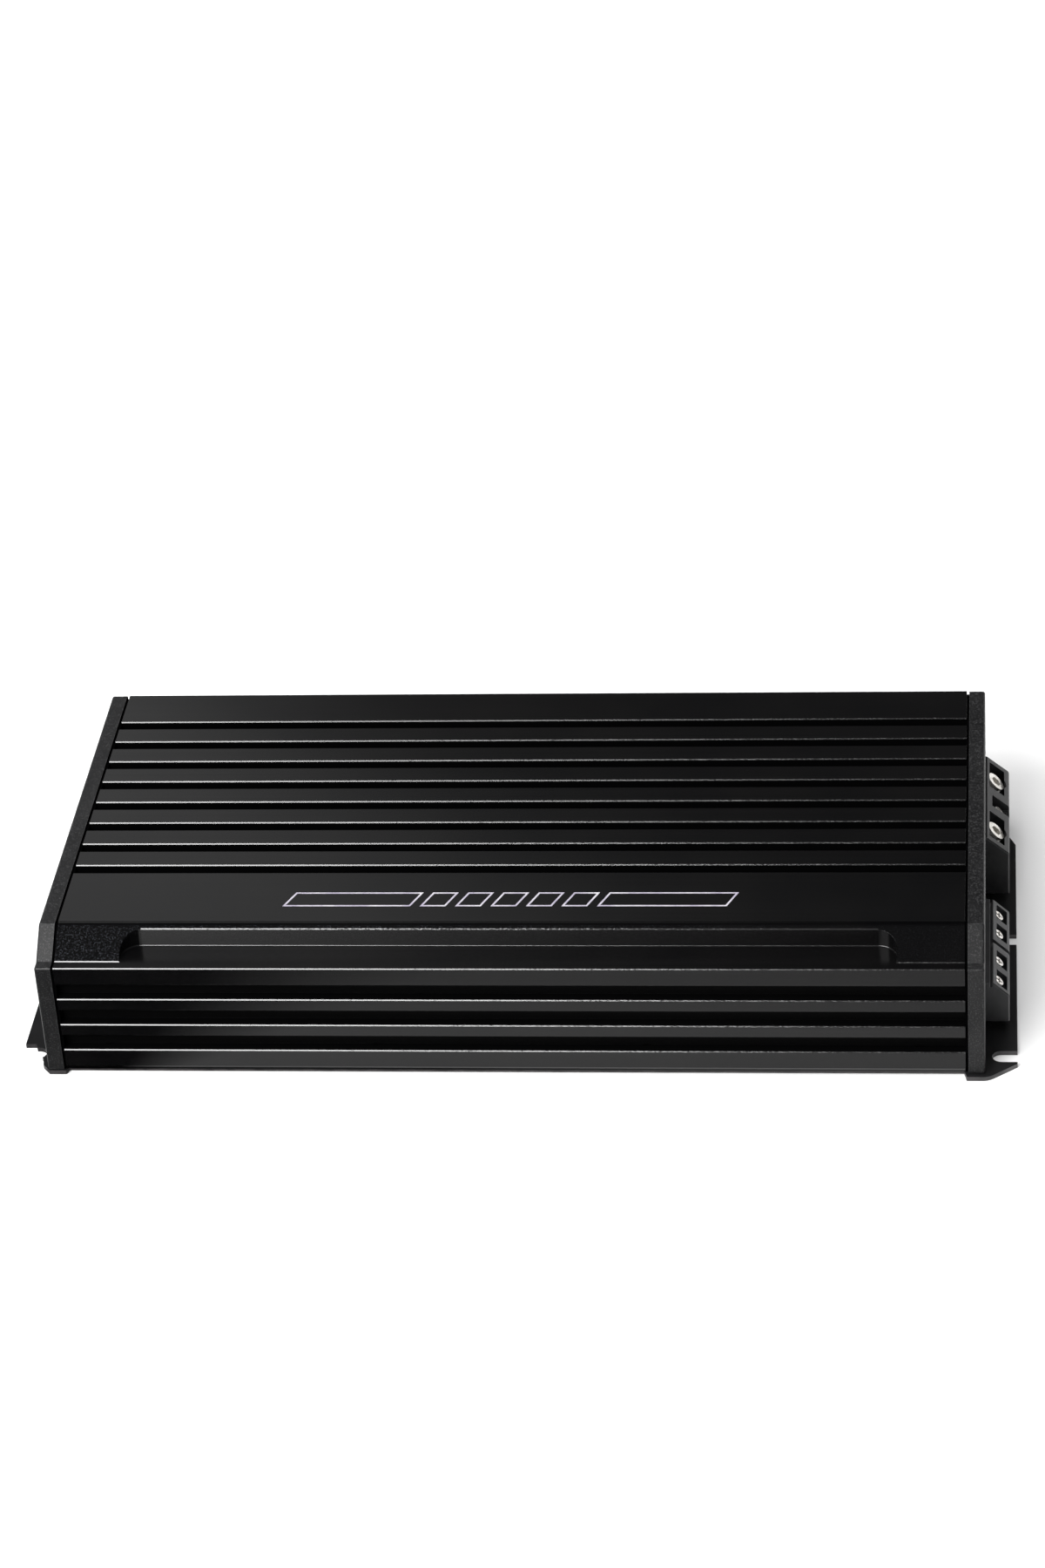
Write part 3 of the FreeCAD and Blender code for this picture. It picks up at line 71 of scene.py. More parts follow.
CASING_LOW, CASING_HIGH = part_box("heatsink_body")
TOP_Z = CASING_HIGH.z
LEDGE_Z = TOP_Z - SHOULDER_DROP
RABBET_Y = CASING_LOW.y + RABBET_SETBACK
BAND_MIDDLE_Y = CASING_LOW.y + BAND_SETBACK

# where the rear reflector's fade and the dark card's change stand, and how far each leans over
REFLECTOR_EDGE = -0.885
REFLECTOR_LEAN = 1.07
CARD_EDGE = -0.183
CARD_LEAN = 0.91

CAMERA_PLACE = (0.1506, -1.1446, 0.7931)
CAMERA_DEGREES = (32.43, 7.48, -4.22)
SENSOR_MM = 36.0
LENS_MM = 99.12


# ---------------------------------------------------------------- building materials

class Finish:
    """One node-based material, with short calls for the nodes it's built from."""

    def __init__(self, name):
        self.material = bpy.data.materials.new(name)
        self.material.use_nodes = True
        self.tree = self.material.node_tree
        self.shader = self.tree.nodes["Principled BSDF"]
        self.place = self.add("ShaderNodeTexCoord").outputs["Object"]
        self.geometry = self.add("ShaderNodeNewGeometry")

    def add(self, kind, **settings):
        node = self.tree.nodes.new(kind)
        for name, value in settings.items():
            setattr(node, name, value)
        return node

    def plug(self, socket, value):
        """Links a value if it's an output, and otherwise sets it."""
        if isinstance(value, bpy.types.NodeSocket):
            self.tree.links.new(value, socket)
        else:
            socket.default_value = value

    def set(self, **inputs):
        for name, value in inputs.items():
            self.plug(self.shader.inputs[name.replace("_", " ")], value)

    def maths(self, operation, *values, clamp=False):
        node = self.add("ShaderNodeMath", operation=operation, use_clamp=clamp)
        for socket, value in zip(node.inputs, values):
            self.plug(socket, value)
        return node.outputs[0]

    def grain(self, size_mm, detail=3.0, stretch=(1.0, 1.0, 1.0), roughness=0.55):
        """Noise whose blobs are about size_mm across, drawn out along each axis by stretch."""
        mapping = self.add("ShaderNodeMapping")
        self.plug(mapping.inputs["Vector"], self.place)
        self.plug(mapping.inputs["Scale"], [1.0 / (size_mm * MM * each) for each in stretch])
        noise = self.add("ShaderNodeTexNoise")
        self.plug(noise.inputs["Vector"], mapping.outputs[0])
        self.plug(noise.inputs["Scale"], 1.0)
        self.plug(noise.inputs["Detail"], detail)
        self.plug(noise.inputs["Roughness"], roughness)
        return noise.outputs["Fac"]

    def cells(self, size_mm, output="Distance"):
        """Scattered points about size_mm apart: the distance to the nearest, or its own random colour."""
        voronoi = self.add("ShaderNodeTexVoronoi")
        self.plug(voronoi.inputs["Vector"], self.place)
        self.plug(voronoi.inputs["Scale"], 1.0 / (size_mm * MM))
        return voronoi.outputs[output]

    def rescale(self, value, low, high, to_low=0.0, to_high=1.0):
        """Carries a value from one range to another, and holds it there."""
        node = self.add("ShaderNodeMapRange", clamp=True)
        for name, number in (("Value", value), ("From Min", low), ("From Max", high),
                             ("To Min", to_low), ("To Max", to_high)):
            self.plug(node.inputs[name], number)
        return node.outputs[0]

    def follow(self, noise, low=0.0, high=1.0):
        """A number that follows a noise from low to high, and leaves out the noise's rare extremes."""
        return self.rescale(noise, 0.3, 0.7, low, high)

    def mix(self, share, first, second):
        """A colour that goes from first to second as share goes from 0 to 1."""
        node = self.add("ShaderNodeMix", data_type="RGBA")
        self.plug(node.inputs["Factor"], share)
        for socket, value in ((node.inputs[6], first), (node.inputs[7], second)):
            self.plug(socket, (*value, 1.0) if isinstance(value, tuple) and len(value) == 3 else value)
        return node.outputs[2]

    def upward(self):
        """How far the true face normal looks up: 1 on a level top, 0 on a wall."""
        split = self.add("ShaderNodeSeparateXYZ")
        self.plug(split.inputs[0], self.geometry.outputs["True Normal"])
        return split.outputs["Z"]

    def overlap(self, first, *others):
        """The product of masks: only where all of them are."""
        for other in others:
            first = self.maths("MULTIPLY", first, other)
        return first

    def facing(self, direction, limit=0.995):
        """1 where the true face normal points along direction, otherwise 0."""
        dot = self.add("ShaderNodeVectorMath", operation="DOT_PRODUCT")
        self.plug(dot.inputs[0], self.geometry.outputs["True Normal"])
        self.plug(dot.inputs[1], Vector(direction).normalized())
        return self.maths("GREATER_THAN", dot.outputs["Value"], limit)

    def axis(self, letter):
        """The place along X, Y or Z, in metres."""
        split = self.add("ShaderNodeSeparateXYZ")
        self.plug(split.inputs[0], self.place)
        return split.outputs[letter]

    def below(self, height):
        """1 under a height, otherwise 0."""
        return self.maths("LESS_THAN", self.axis("Z"), height)

    def above(self, height):
        """1 over a height, otherwise 0."""
        return self.maths("GREATER_THAN", self.axis("Z"), height)

    def rounded_normal(self, radius_mm):
        """The normal as if every edge had a small round on it."""
        bevel = self.add("ShaderNodeBevel", samples=4)
        self.plug(bevel.inputs["Radius"], radius_mm * MM)
        return bevel.outputs["Normal"]

    def edges(self, radius_mm):
        """Near 1 along sharp edges, 0 on flat stretches."""
        dot = self.add("ShaderNodeVectorMath", operation="DOT_PRODUCT")
        self.plug(dot.inputs[0], self.rounded_normal(radius_mm))
        self.plug(dot.inputs[1], self.geometry.outputs["Normal"])
        return self.rescale(dot.outputs["Value"], 0.995, 0.86)

    def bump(self, height, depth_mm, normal=None):
        """Gives the surface a relief, on top of a normal if there is one."""
        node = self.add("ShaderNodeBump")
        self.plug(node.inputs["Height"], height)
        self.plug(node.inputs["Distance"], depth_mm * MM)
        self.plug(node.inputs["Strength"], 1.0)
        if normal is not None:
            self.plug(node.inputs["Normal"], normal)
        self.set(Normal=node.outputs["Normal"])

    def dust(self, spacing_mm, speck_mm, share=0.5):
        """Small specks lying here and there on faces that look up."""
        near = self.maths("LESS_THAN", self.cells(spacing_mm), speck_mm / spacing_mm)
        chosen = self.maths("LESS_THAN", self.cells(spacing_mm, output="Color"), share)
        faces_up = self.maths("GREATER_THAN", self.upward(), 0.3)
        return self.overlap(near, chosen, faces_up)


def paint(material, *names):
    """Gives CAD nodes one material."""
    for name in names:
        mesh = NODES[name].data
        mesh.materials.clear()
        mesh.materials.append(material)


# ---------------------------------------------------------------- materials

def anodised_aluminium():
    """Black anodised extrusion: fine drawn grain, broken edges bright with wear and a painted highlight,
    grooves painted black as painted shade, a milled recess.
    """
    look = Finish("anodised_aluminium")
    cloud = look.grain(38.0, detail=2.0)
    drawn = look.grain(0.45, detail=2.0, stretch=(500.0, 1.0, 1.0))
    pores = look.grain(0.30, detail=2.0)
    along, across = look.axis("X"), look.axis("Y")
    sunk = look.maths("LESS_THAN", look.maths("ABSOLUTE", across), -CASING_LOW.y - 0.35 * MM)

    # broken edges are bright dashes, partly bare worn metal and partly a painted highlight, that thin out
    # towards the right end and along the upper front as the painted light fades
    broken_edge = look.maths("ADD", look.facing((0, -1, 1)), look.facing((0, 1, 1)), clamp=True)
    upper_front = look.overlap(look.above(LEDGE_Z + 0.5 * MM), look.maths("LESS_THAN", across, RABBET_Y))
    threshold = look.maths("MULTIPLY_ADD", along, 1.1, 0.40)
    threshold = look.maths("MULTIPLY_ADD", upper_front, 0.10, threshold)
    spots = look.grain(0.7, detail=4.0, stretch=(1.0, 0.4, 0.4), roughness=0.7)
    dashes = look.rescale(look.maths("SUBTRACT", spots, threshold), -0.02, 0.08, 0.12, 1.0)
    wear_and_highlight = look.overlap(broken_edge, dashes)

    # the unmilled ends of the shoulder are speckled, painted paler at the left end and fading to the right as
    # painted light, and its back edge, a step, is painted dark as painted shade by losing its shine
    shoulder = look.facing(SHOULDER_NORMAL, 0.998)
    speckle = look.rescale(look.grain(0.55, detail=3.0, roughness=0.8), 0.54, 0.70)
    speckle_and_painted_light = look.overlap(shoulder, speckle, look.rescale(along, -0.12, 0.10, 1.0, 0.1))
    rabbet = look.overlap(look.above(LEDGE_Z + 3 * MM), look.maths("COMPARE", across, RABBET_Y, 0.8 * MM))

    # the milled recess, the insides of the grooves, painted black as painted shade, and the strip along the
    # foot
    milled_floor = look.overlap(look.facing((0, 0, 1)), look.below(LEDGE_Z + 1 * MM))
    milled_wall = look.overlap(look.facing((0, -1, 0)), sunk, look.above(LEDGE_Z))
    top_groove = look.overlap(sunk, look.below(TOP_Z - 0.45 * MM),
                              look.maths("GREATER_THAN", across, RABBET_Y + 2 * MM))
    side_groove = look.overlap(sunk, look.below(LEDGE_Z - 2 * MM))
    groove = look.maths("MAXIMUM", top_groove, side_groove)
    foot = look.facing(FOOT_NORMAL, 0.99)

    # colour: the plain metal, then each area laid over it, painted light, painted highlight and painted shade
    # among them
    base = look.mix(look.rescale(cloud, 0.35, 0.65), (0.0016, 0.0016, 0.0018), (0.0026, 0.0025, 0.0026))
    # the recess wall is painted paler at the left end, fading to the right, as painted light
    painted_light_on_wall = look.overlap(milled_wall, look.rescale(along, -0.12, 0.12, 1.0, 0.0))
    specks = look.dust(17.0, 0.22, 0.55)
    for area, colour in ((speckle_and_painted_light, (0.026, 0.028, 0.033)), (painted_light_on_wall, (0.016, 0.016, 0.016)),
                         (wear_and_highlight, (0.09, 0.09, 0.09)), (specks, (0.42, 0.42, 0.42)), (groove, PAINTED_SHADE_BLACK)):
        base = look.mix(area, base, colour)

    # shine: what each area adds to the plain metal's, then the share that others take from it; the foot's
    # shine, painted weaker at the left end than at the right, is painted light, and the shine taken from the
    # rabbet and the grooves is painted shade
    shine = 0.5
    for area, change in ((shoulder, -0.40), (milled_floor, -0.36), (milled_wall, 0.25),
                         (foot, look.rescale(along, -0.14, 0.14, -0.28, 0.28)), (groove, -0.42)):
        shine = look.maths("MULTIPLY_ADD", area, change, shine)
    for area, change in ((broken_edge, look.maths("SUBTRACT", dashes, 1.0)),
                         (look.overlap(broken_edge, upper_front), -0.6), (rabbet, -0.95)):
        shine = look.maths("MULTIPLY", shine, look.maths("MULTIPLY_ADD", area, change, 1.0))
    shine = look.maths("MAXIMUM", shine, 0.03)
    shine = look.overlap(shine, look.maths("SUBTRACT", 1.0, top_groove))

    rough = look.follow(drawn, 0.18, 0.22)
    rough = look.maths("MULTIPLY_ADD", groove, 0.35, rough)
    look.set(Base_Color=base, Roughness=rough, Metallic=look.maths("MULTIPLY", wear_and_highlight, 0.55),
             Specular_IOR_Level=shine)

    # relief: streaks along the extrusion, pores, and a coarser skin where it's speckled
    streaks = look.maths("MULTIPLY", drawn, look.maths("MULTIPLY_ADD", shoulder, -0.5, 0.5))
    height = look.maths("MULTIPLY_ADD", pores, 0.5, streaks)
    height = look.maths("MULTIPLY_ADD", speckle_and_painted_light, 2.5, height)
    look.bump(height, 0.004, look.rounded_normal(0.12))
    return look.material


def coated_cap():
    """Cast end cap in fine textured powder coat, rubbed lighter along its edges, painted black and dull in
    its shadow line as painted shade.
    """
    look = Finish("coated_cap")
    fine = look.grain(0.50, detail=4.0, roughness=0.7)
    broad = look.grain(14.0, detail=3.0)
    rubbed = look.overlap(look.edges(0.40), look.rescale(fine, 0.35, 0.6, 0.3, 1.0))
    base = look.mix(look.rescale(broad, 0.35, 0.65), (0.0045, 0.0045, 0.0048), (0.0075, 0.0075, 0.0078))
    base = look.mix(look.rescale(fine, 0.53, 0.64), base, (0.042, 0.042, 0.043))
    base = look.mix(rubbed, base, (0.050, 0.050, 0.052))
    # the shadow line is painted black, with less shine, as painted shade
    neck = look.maths("LESS_THAN", look.maths("ABSOLUTE", look.axis("X")), CASING_HIGH.x + SHADOW_LINE)
    base = look.mix(neck, base, PAINTED_SHADE_BLACK)
    look.set(Base_Color=base, Roughness=look.follow(fine, 0.36, 0.50),
             Specular_IOR_Level=look.maths("MULTIPLY_ADD", neck, -0.32, 0.32))
    look.bump(fine, 0.030, look.rounded_normal(0.30))
    return look.material


def coated_steel():
    """Sheet steel in thin black paint, with grey sheared edges."""
    look = Finish("coated_steel")
    cloud = look.grain(9.0, detail=4.0)
    fine = look.grain(0.5, detail=3.0)
    upright = look.maths("LESS_THAN", look.maths("ABSOLUTE", look.upward()), 0.5)
    sheared = look.overlap(upright, look.rescale(cloud, 0.40, 0.62, 0.15, 0.9))
    base = look.mix(look.follow(cloud), (0.0045, 0.0045, 0.0049), (0.0080, 0.0080, 0.0086))
    base = look.mix(sheared, base, (0.075, 0.070, 0.072))
    # the shine is painted weaker at the left end than at the right, as painted light
    look.set(Base_Color=base, Roughness=look.follow(cloud, 0.30, 0.44),
             Metallic=look.maths("MULTIPLY", sheared, 0.6),
             Specular_IOR_Level=look.rescale(look.axis("X"), -0.14, 0.14, 0.10, 0.80))
    look.bump(fine, 0.010, look.rounded_normal(0.12))
    return look.material


def moulded(name, dark, light, rough=(0.38, 0.52), depth_mm=0.012, edge=(0.10, 0.10, 0.105)):
    """Moulded plastic: fine spark-eroded grain, faint colour drift, edges painted paler as a painted
    highlight.
    """
    look = Finish(name)
    fine = look.grain(0.35, detail=3.0, roughness=0.65)
    broad = look.grain(7.0, detail=2.0)
    base = look.mix(look.rescale(broad, 0.35, 0.65), dark, light)
    base = look.mix(look.maths("MULTIPLY", look.edges(0.22), 0.65), base, edge)
    look.set(Base_Color=base, Roughness=look.follow(fine, *rough))
    look.bump(fine, depth_mm, look.rounded_normal(0.18))
    return look.material


def metal(name, colour, tarnish, rough=(0.16, 0.34), metallic=1.0):
    """Bare or plated metal with light tarnish and fine tool marks."""
    look = Finish(name)
    cloud = look.grain(2.4, detail=4.0)
    marks = look.grain(0.25, detail=3.0)
    base = look.mix(look.rescale(cloud, 0.40, 0.72), colour, tarnish)
    # edges are painted halfway to white as a painted highlight
    base = look.mix(look.maths("MULTIPLY", look.edges(0.12), 0.5), base, WHITE)
    look.set(Base_Color=base, Metallic=metallic, Roughness=look.follow(marks, *rough))
    look.bump(marks, 0.006, look.rounded_normal(0.10))
    return look.material


def black_screw():
    """Black oxide steel with a little bare metal on the recess and head edges."""
    look = Finish("black_screw")
    cloud = look.grain(0.8, detail=4.0)
    bare = look.overlap(look.edges(0.16), look.rescale(cloud, 0.35, 0.6, 0.2, 0.9))
    base = look.mix(look.follow(cloud), (0.012, 0.012, 0.013), (0.024, 0.023, 0.023))
    base = look.mix(bare, base, (0.26, 0.25, 0.24))
    look.set(Base_Color=base, Metallic=0.75, Roughness=look.follow(cloud, 0.28, 0.45))
    look.bump(cloud, 0.010, look.rounded_normal(0.10))
    return look.material


def light_pipe(name, colour):
    """Tinted clear plastic that isn't lit."""
    look = Finish(name)
    swirl = look.grain(1.2, detail=2.0)
    base = look.mix(look.follow(swirl), colour, tuple(channel * 0.6 for channel in colour))
    look.set(Base_Color=base, Roughness=look.follow(swirl, 0.08, 0.18),
             Transmission_Weight=0.45, IOR=1.49)
    look.bump(swirl, 0.010)
    return look.material


def board_laminate():
    """Green solder mask with the copper tracks just showing through."""
    look = Finish("board_laminate")
    tracks = look.add("ShaderNodeTexBrick")
    look.plug(tracks.inputs["Vector"], look.place)
    look.plug(tracks.inputs["Scale"], 160.0)
    look.plug(tracks.inputs["Mortar Size"], 0.06)
    weave = look.grain(0.6, detail=2.0)
    base = look.mix(tracks.outputs["Fac"], (0.006, 0.075, 0.026), (0.012, 0.125, 0.045))
    base = look.mix(look.rescale(weave, 0.4, 0.7, 0.0, 0.4), base, (0.003, 0.045, 0.016))
    look.set(Base_Color=base, Roughness=look.follow(weave, 0.22, 0.36))
    look.bump(look.maths("ADD", tracks.outputs["Fac"], look.maths("MULTIPLY", weave, 0.3)), 0.03)
    return look.material


def ornament_silver():
    """Printed metallic ink: silver with a faint violet cast, slightly broken up."""
    look = Finish("ornament_silver")
    patches = look.grain(5.0, detail=3.0)
    broken = look.grain(0.35, detail=2.0)
    base = look.mix(look.rescale(patches, 0.35, 0.65), (0.46, 0.42, 0.53), (0.74, 0.72, 0.76))
    base = look.mix(look.rescale(broken, 0.58, 0.74), base, (0.20, 0.19, 0.22))
    look.set(Base_Color=base, Metallic=0.35, Roughness=look.follow(broken, 0.30, 0.50))
    look.bump(broken, 0.006)
    return look.material


def white_ink():
    """Matt printed dial marks."""
    look = Finish("white_ink")
    broken = look.grain(0.25, detail=2.0)
    base = look.mix(look.rescale(broken, 0.55, 0.75), (0.62, 0.62, 0.60), (0.35, 0.35, 0.34))
    look.set(Base_Color=base, Roughness=look.follow(broken, 0.55, 0.70))
    look.bump(broken, 0.005)
    return look.material


def finish_cad_pieces():
    """Gives every CAD piece its material."""
    # grey painted onto moulded edges as a painted highlight
    painted_edge_highlight = (0.17, 0.17, 0.175)
    paint(anodised_aluminium(), "heatsink_body")
    paint(coated_cap(), "left_end_cap", "right_end_cap")
    paint(coated_steel(), "mounting_plate")
    paint(black_screw(), "left_cap_screws", "right_cap_screws", "plate_screws")

    paint(moulded("supply_plastic", (0.009, 0.009, 0.010), (0.014, 0.014, 0.015), edge=painted_edge_highlight),
          "power_terminal_housing")
    paint(moulded("speaker_plastic", (0.026, 0.026, 0.027), (0.036, 0.036, 0.038), edge=painted_edge_highlight),
          "speaker_terminal_housing")
    paint(moulded("knob_plastic", (0.010, 0.010, 0.010), (0.016, 0.016, 0.017), rough=(0.28, 0.40)),
          *KNOBS, "filter_switch_lever", "level_switch_lever")
    paint(moulded("component_plastic", (0.012, 0.012, 0.013), (0.020, 0.020, 0.021)),
          "potentiometers", "remote_level_jack", "rca_jack_housing", "output_transistors",
          "supply_transistors", "rectifier_diodes", "driver_board_header", "driver_chips", "preamp_chips",
          "mute_relay", "thermal_sensor")
    paint(moulded("red_insulator", (0.46, 0.012, 0.010), (0.58, 0.020, 0.016), rough=(0.22, 0.32),
                  edge=(0.75, 0.12, 0.10)), "rca_insulator_rings")
    paint(moulded("capacitor_sleeve", (0.008, 0.009, 0.016), (0.014, 0.015, 0.026), rough=(0.20, 0.30)),
          "input_capacitors", "rail_capacitors", "coupling_capacitors")
    paint(moulded("film_plastic", (0.36, 0.070, 0.012), (0.48, 0.10, 0.020), rough=(0.24, 0.34)),
          "film_capacitors")
    paint(moulded("ferrite", (0.030, 0.042, 0.036), (0.048, 0.062, 0.054), rough=(0.55, 0.75), depth_mm=0.03),
          "transformer_core", "output_choke_cores")
    paint(moulded("insulating_pad", (0.36, 0.36, 0.36), (0.46, 0.46, 0.46), rough=(0.60, 0.75)),
          "insulating_pads")

    paint(metal("nickel", (0.86, 0.84, 0.80), (0.58, 0.55, 0.50), rough=(0.22, 0.38), metallic=0.75),
          "negative_clamp_screw", "positive_clamp_screw", "remote_clamp_screw",
          *("speaker_clamp_screw_%d" % number for number in range(1, 5)))
    paint(metal("nickel_block", (0.60, 0.58, 0.55), (0.40, 0.38, 0.35), rough=(0.28, 0.45)),
          "power_clamp_blocks", "remote_clamp_block", "speaker_clamp_blocks")
    paint(metal("gold_contact", (0.90, 0.66, 0.28), (0.74, 0.50, 0.20), rough=(0.14, 0.26)),
          "rca_ground_sleeves", "rca_centre_contacts", "level_jack_contacts")
    paint(metal("zinc_steel", (0.66, 0.66, 0.64), (0.44, 0.44, 0.42), rough=(0.26, 0.44)),
          "board_screws", "clamp_bar_screws", "transistor_clamp_bars", "slide_switch_cases")
    paint(metal("copper_wire", (0.72, 0.30, 0.14), (0.50, 0.18, 0.08), rough=(0.18, 0.30)),
          "transformer_winding", "output_choke_windings", "power_busbars", "speaker_link_strips")

    paint(light_pipe("clear_lens_blue", (0.16, 0.34, 0.85)), "power_led")
    paint(light_pipe("clear_lens_red", (0.80, 0.07, 0.05)), "protect_led")
    paint(board_laminate(), "main_circuit_board", "driver_board")


# ---------------------------------------------------------------- surface details

def ring_strip(mesh, inner, outer, bottom, top):
    """Adds a closed band between two matching loops of (x, y) points, from one height to another."""
    loops = [[mesh.verts.new((x, y, z)) for x, y in loop]
             for loop, z in ((inner, bottom), (outer, bottom), (outer, top), (inner, top))]
    number = len(inner)
    for here in range(number):
        there = (here + 1) % number
        for first, second in zip(loops, loops[1:] + loops[:1]):
            mesh.faces.new((first[here], first[there], second[there], second[here]))


def slanted_outline(left, right, front, back, slant, line):
    """Outer and inner loops of an outlined bar whose ends lean over by slant."""
    outer = [(left, front), (right, front), (right + slant, back), (left + slant, back)]
    lean = slant / (back - front)
    run = line * math.hypot(1.0, lean)
    low, high = front + line, back - line
    inner = [(left + run + lean * line, low), (right - run + lean * line, low),
             (right - run + slant - lean * line, high), (left + run + slant - lean * line, high)]
    return outer, inner


def add_piece(name, mesh_builder, material, body):
    """Makes a mesh object from a bmesh, and rides it on a body."""
    mesh = bpy.data.meshes.new(name)
    bmesh.ops.recalc_face_normals(mesh_builder, faces=mesh_builder.faces)
    mesh_builder.to_mesh(mesh)
    mesh_builder.free()
    piece = bpy.data.objects.new(name, mesh)
    bpy.context.scene.collection.objects.link(piece)
    mesh.materials.append(material)
    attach(piece, body)


def build_front_ornament():
    """A plain trim of outlined slanted bars on the wide band in front of the grooves."""
    proud, line, tall = 0.04 * MM, 0.62 * MM, 7.6 * MM
    long_bar, short_bar, gap = 40.0 * MM, 8.0 * MM, 3.0 * MM
    front, back = BAND_MIDDLE_Y - tall / 2, BAND_MIDDLE_Y + tall / 2
    slant = tall * 0.45
    widths = [long_bar] + [short_bar] * 5 + [long_bar]
    total = sum(widths) + gap * (len(widths) - 1) + slant
    left = -total / 2
    mesh = bmesh.new()
    for width in widths:
        outer, inner = slanted_outline(left, left + width, front, back, slant, line)
        ring_strip(mesh, inner, outer, TOP_Z - proud, TOP_Z + proud)
        left += width + gap
    add_piece("front_ornament", mesh, ornament_silver(), "amplifier")


def build_dial_marks():
    """Printed ticks round each knob on the left end cap, from its lowest to its highest setting."""
    face_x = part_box("left_end_cap")[0].x
    travel, steps = 280, 10
    gap, long_tick, short_tick = 1.0 * MM, 1.5 * MM, 0.9 * MM
    thick, wide = 0.06 * MM, 0.22 * MM
    mesh = bmesh.new()
    for knob in KNOBS:
        low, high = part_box(knob)
        centre = (low + high) / 2
        radius = (high.y - low.y) / 2
        for step in range(steps + 1):
            angle = math.radians(travel / steps * step - travel / 2)
            reach = long_tick if step % (steps // 2) == 0 else short_tick
            turn = Matrix.Rotation(angle, 4, "X")
            place = Matrix.Translation((face_x, centre.y, centre.z)) @ turn
            outward = Matrix.Translation((0, 0, radius + gap + reach / 2))
            size = Matrix.Diagonal((thick, wide, reach, 1.0))
            bmesh.ops.create_cube(mesh, size=1.0, matrix=place @ outward @ size)
    add_piece("dial_marks", mesh, white_ink(), "amplifier")


# ---------------------------------------------------------------- studio

def area_light(name, place, target, width, height, power):
    """A white rectangular softbox at a place, turned to a target."""
    light = bpy.data.lights.new(name, "AREA")
    light.shape = "RECTANGLE"
    light.size = width
    light.size_y = height
    light.energy = power
    lamp = bpy.data.objects.new(name, light)
    lamp.location = place
    lamp.rotation_euler = (Vector(target) - Vector(place)).to_track_quat("-Z", "Y").to_euler()
    bpy.context.scene.collection.objects.link(lamp)
    return lamp


def build_floor():
    """A wide pale sheet just under the plate, which stays white to the camera far out."""
    mesh = bmesh.new()
    bmesh.ops.create_grid(mesh, x_segments=1, y_segments=1, size=6.0)
    data = bpy.data.meshes.new("studio_floor")
    mesh.to_mesh(data)
    mesh.free()
    floor = bpy.data.objects.new("studio_floor", data)
    floor.location.z = cad_box[0][2] - 0.02 * MM
    bpy.context.scene.collection.objects.link(floor)
    look = Finish("studio_floor_white")
    drift = look.grain(400.0, detail=2.0)
    length = look.add("ShaderNodeVectorMath", operation="LENGTH")
    look.plug(length.inputs[0], look.place)
    seen = look.add("ShaderNodeLightPath").outputs["Is Camera Ray"]
    fade = look.maths("MULTIPLY", look.rescale(length.outputs["Value"], 0.4, 1.6), seen)
    look.set(Base_Color=look.mix(look.follow(drift), (0.86, 0.86, 0.86), (0.89, 0.89, 0.89)),
             Roughness=0.75, Specular_IOR_Level=0.2, Emission_Color=WHITE, Emission_Strength=fade)
    data.materials.append(look.material)


def build_world():
    """Pale to the camera, and dim to everything that mirrors it, as a studio's far walls are."""
    world = bpy.data.worlds.new("studio")
    bpy.context.scene.world = world
    world.use_nodes = True
    tree = world.node_tree
    seen = tree.nodes.new("ShaderNodeLightPath")
    background = tree.nodes["Background"]
    share = tree.nodes.new("ShaderNodeMapRange")
    tree.links.new(seen.outputs["Is Camera Ray"], share.inputs["Value"])
    share.inputs["To Min"].default_value = 0.10
    share.inputs["To Max"].default_value = 1.0
    tree.links.new(share.outputs[0], background.inputs["Strength"])
    background.inputs["Color"].default_value = WHITE


def glossy_card(name, corners, shade):
    """A studio card that shows only in reflections; shade builds its material from a Finish."""
    mesh = bpy.data.meshes.new(name)
    mesh.from_pydata(corners, [], [range(len(corners))])
    card = bpy.data.objects.new(name, mesh)
    bpy.context.scene.collection.objects.link(card)
    look = Finish(name)
    shade(look)
    mesh.materials.append(look.material)
    card.visible_camera = False
    card.visible_diffuse = False
    card.visible_shadow = False
    card.visible_transmission = False


def upright_card(name, start, end, bottom, top, shade):
    """A glossy card that stands over the line from start to end."""
    glossy_card(name, [(*start, bottom), (*end, bottom), (*end, top), (*start, top)], shade)


def rear_reflector(look):
    """A dim pale wall, brighter low down, that fades away to the right, lower parts first."""
    lit, unlit, half_fade = 0.48, 0.03, 0.06
    edge = look.maths("SUBTRACT", look.axis("X"), look.maths("MULTIPLY", look.axis("Z"), REFLECTOR_LEAN))
    glow = look.rescale(edge, REFLECTOR_EDGE - half_fade, REFLECTOR_EDGE + half_fade, lit, unlit)
    glow = look.maths("MULTIPLY", glow, look.rescale(look.axis("Z"), 0.53, 0.65, 1.9, 1.0))
    look.set(Base_Color=BLACK, Specular_IOR_Level=0.0, Emission_Color=WHITE, Emission_Strength=glow)


def side_reflector(look):
    """A pale wall low behind the wire terminals."""
    glow = look.rescale(look.axis("Z"), 0.05, 0.60, 1.6, 0.4)
    look.set(Base_Color=BLACK, Specular_IOR_Level=0.0, Emission_Color=WHITE, Emission_Strength=glow)


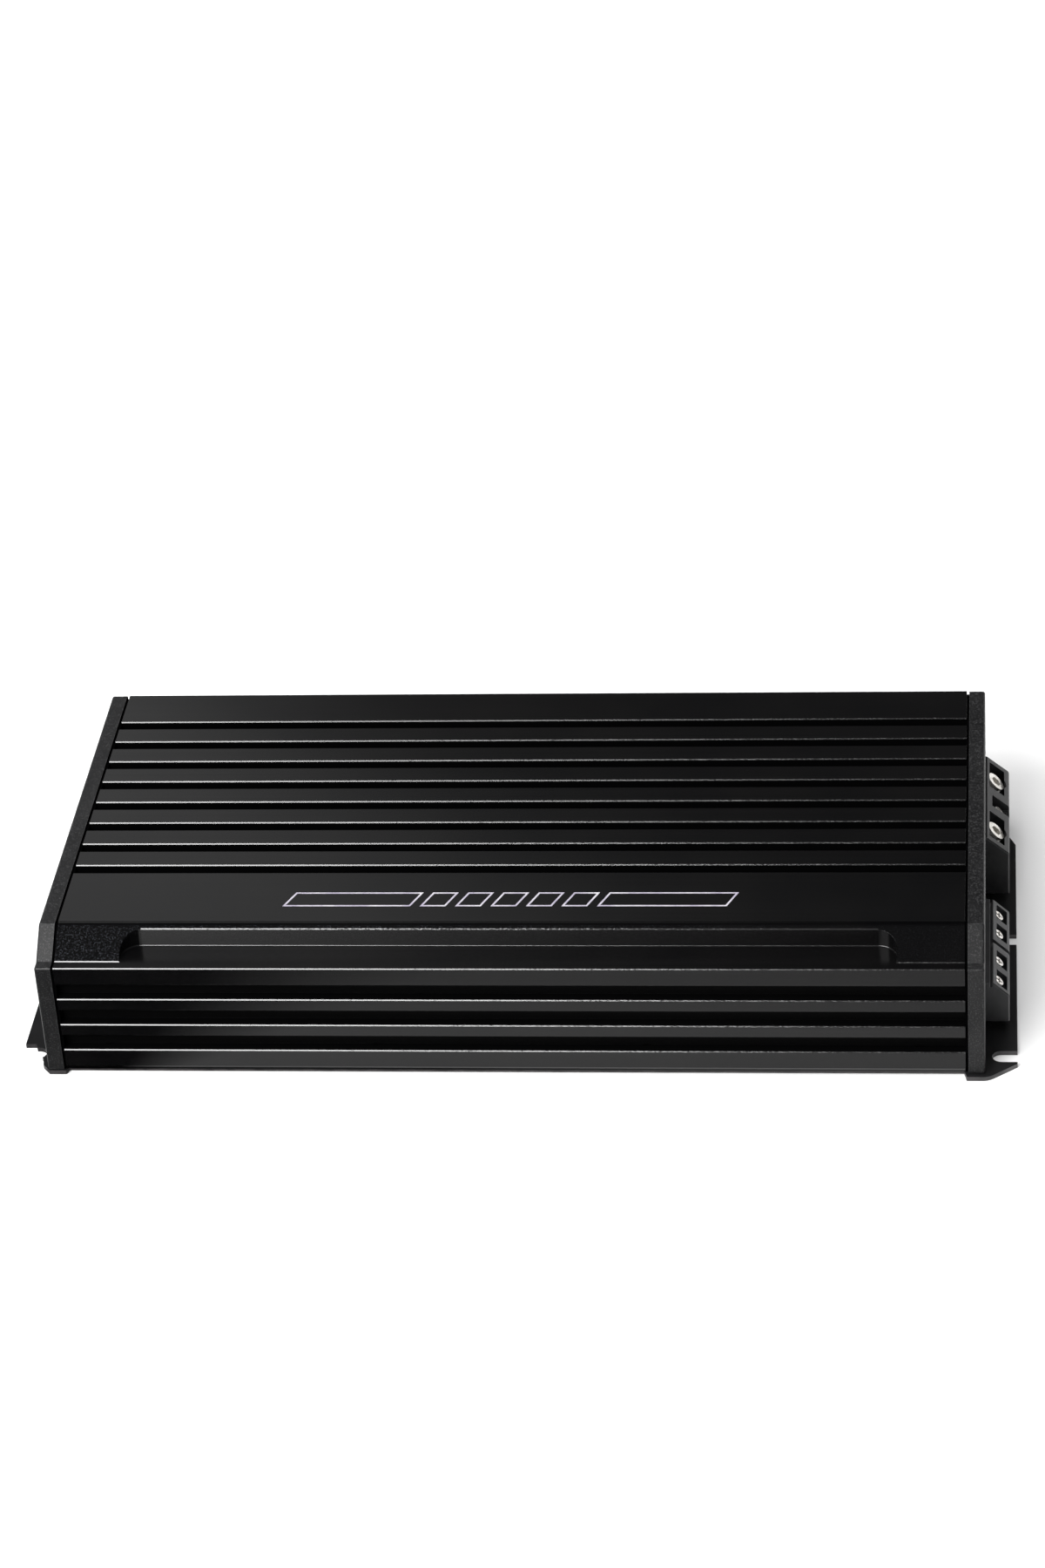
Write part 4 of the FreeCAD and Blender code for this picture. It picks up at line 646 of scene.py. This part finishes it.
def dark_card(look):
    """Grey gauze on the floor, black at the left, whose change blurs with distance from the casing."""
    edge = look.maths("ADD", look.axis("X"), look.maths("MULTIPLY", look.axis("Y"), CARD_LEAN))
    blur = look.maths("MULTIPLY_ADD", look.axis("Y"), -1.2, -0.074)
    share = look.maths("DIVIDE", look.maths("SUBTRACT", edge, CARD_EDGE), blur)
    thin = look.rescale(look.axis("Y"), -0.125, -0.083, 0.64, 0.38)
    cover = look.rescale(share, -0.5, 0.5, 1.0, thin)
    look.set(Base_Color=BLACK, Specular_IOR_Level=0.0, Alpha=cover)


def build_lights():
    """A key light from the front left, an overhead fill, and cards for the glossy faces to mirror."""
    area_light("key_softbox", (-0.72, -1.06, 1.12), (0, 0, 0), 1.2, 1.1, 50.0)
    fill = area_light("overhead_fill", (0.0, 0.0, 1.8), (0, 0, 0), 2.4, 2.4, 39.0)
    fill.visible_glossy = False
    upright_card("rear_reflector", (-1.6, 0.9), (0.6, 0.9), 0.25, 1.1, rear_reflector)
    upright_card("side_reflector", (0.55, 1.75), (1.65, 0.95), 0.0, 0.7, side_reflector)

    left, right = -0.9, 0.4
    far_out, near_casing = -0.6, -0.0727
    height = 0.4 * MM
    glossy_card("dark_card", [(left, far_out, height), (right, far_out, height),
                              (right, near_casing, height), (left, near_casing, height)], dark_card)


def build_camera():
    """A long lens looking down on the front, turned a little towards the left end."""
    pitch, yaw, roll = (math.radians(angle) for angle in CAMERA_DEGREES)
    level = Matrix(((1, 0, 0), (0, 0, -1), (0, 1, 0)))
    tilt = Matrix(((1, 0, 0), (0, math.cos(pitch), -math.sin(pitch)), (0, math.sin(pitch), math.cos(pitch))))
    swing = Matrix(((math.cos(yaw), 0, math.sin(yaw)), (0, 1, 0), (-math.sin(yaw), 0, math.cos(yaw))))
    lean = Matrix(((math.cos(roll), -math.sin(roll), 0), (math.sin(roll), math.cos(roll), 0), (0, 0, 1)))
    right, down, ahead = lean @ tilt @ swing @ level
    data = bpy.data.cameras.new("studio_camera")
    data.sensor_width = SENSOR_MM
    data.lens = LENS_MM
    camera = bpy.data.objects.new("studio_camera", data)
    frame_axes = Matrix((right, -down, -ahead)).transposed().to_4x4()
    camera.matrix_world = Matrix.Translation(CAMERA_PLACE) @ frame_axes
    bpy.context.scene.collection.objects.link(camera)
    bpy.context.scene.camera = camera


# ---------------------------------------------------------------- the scene

finish_cad_pieces()
build_front_ornament()
build_dial_marks()
build_floor()
build_world()
build_lights()
build_camera()
bpy.context.scene.view_settings.view_transform = "Standard"
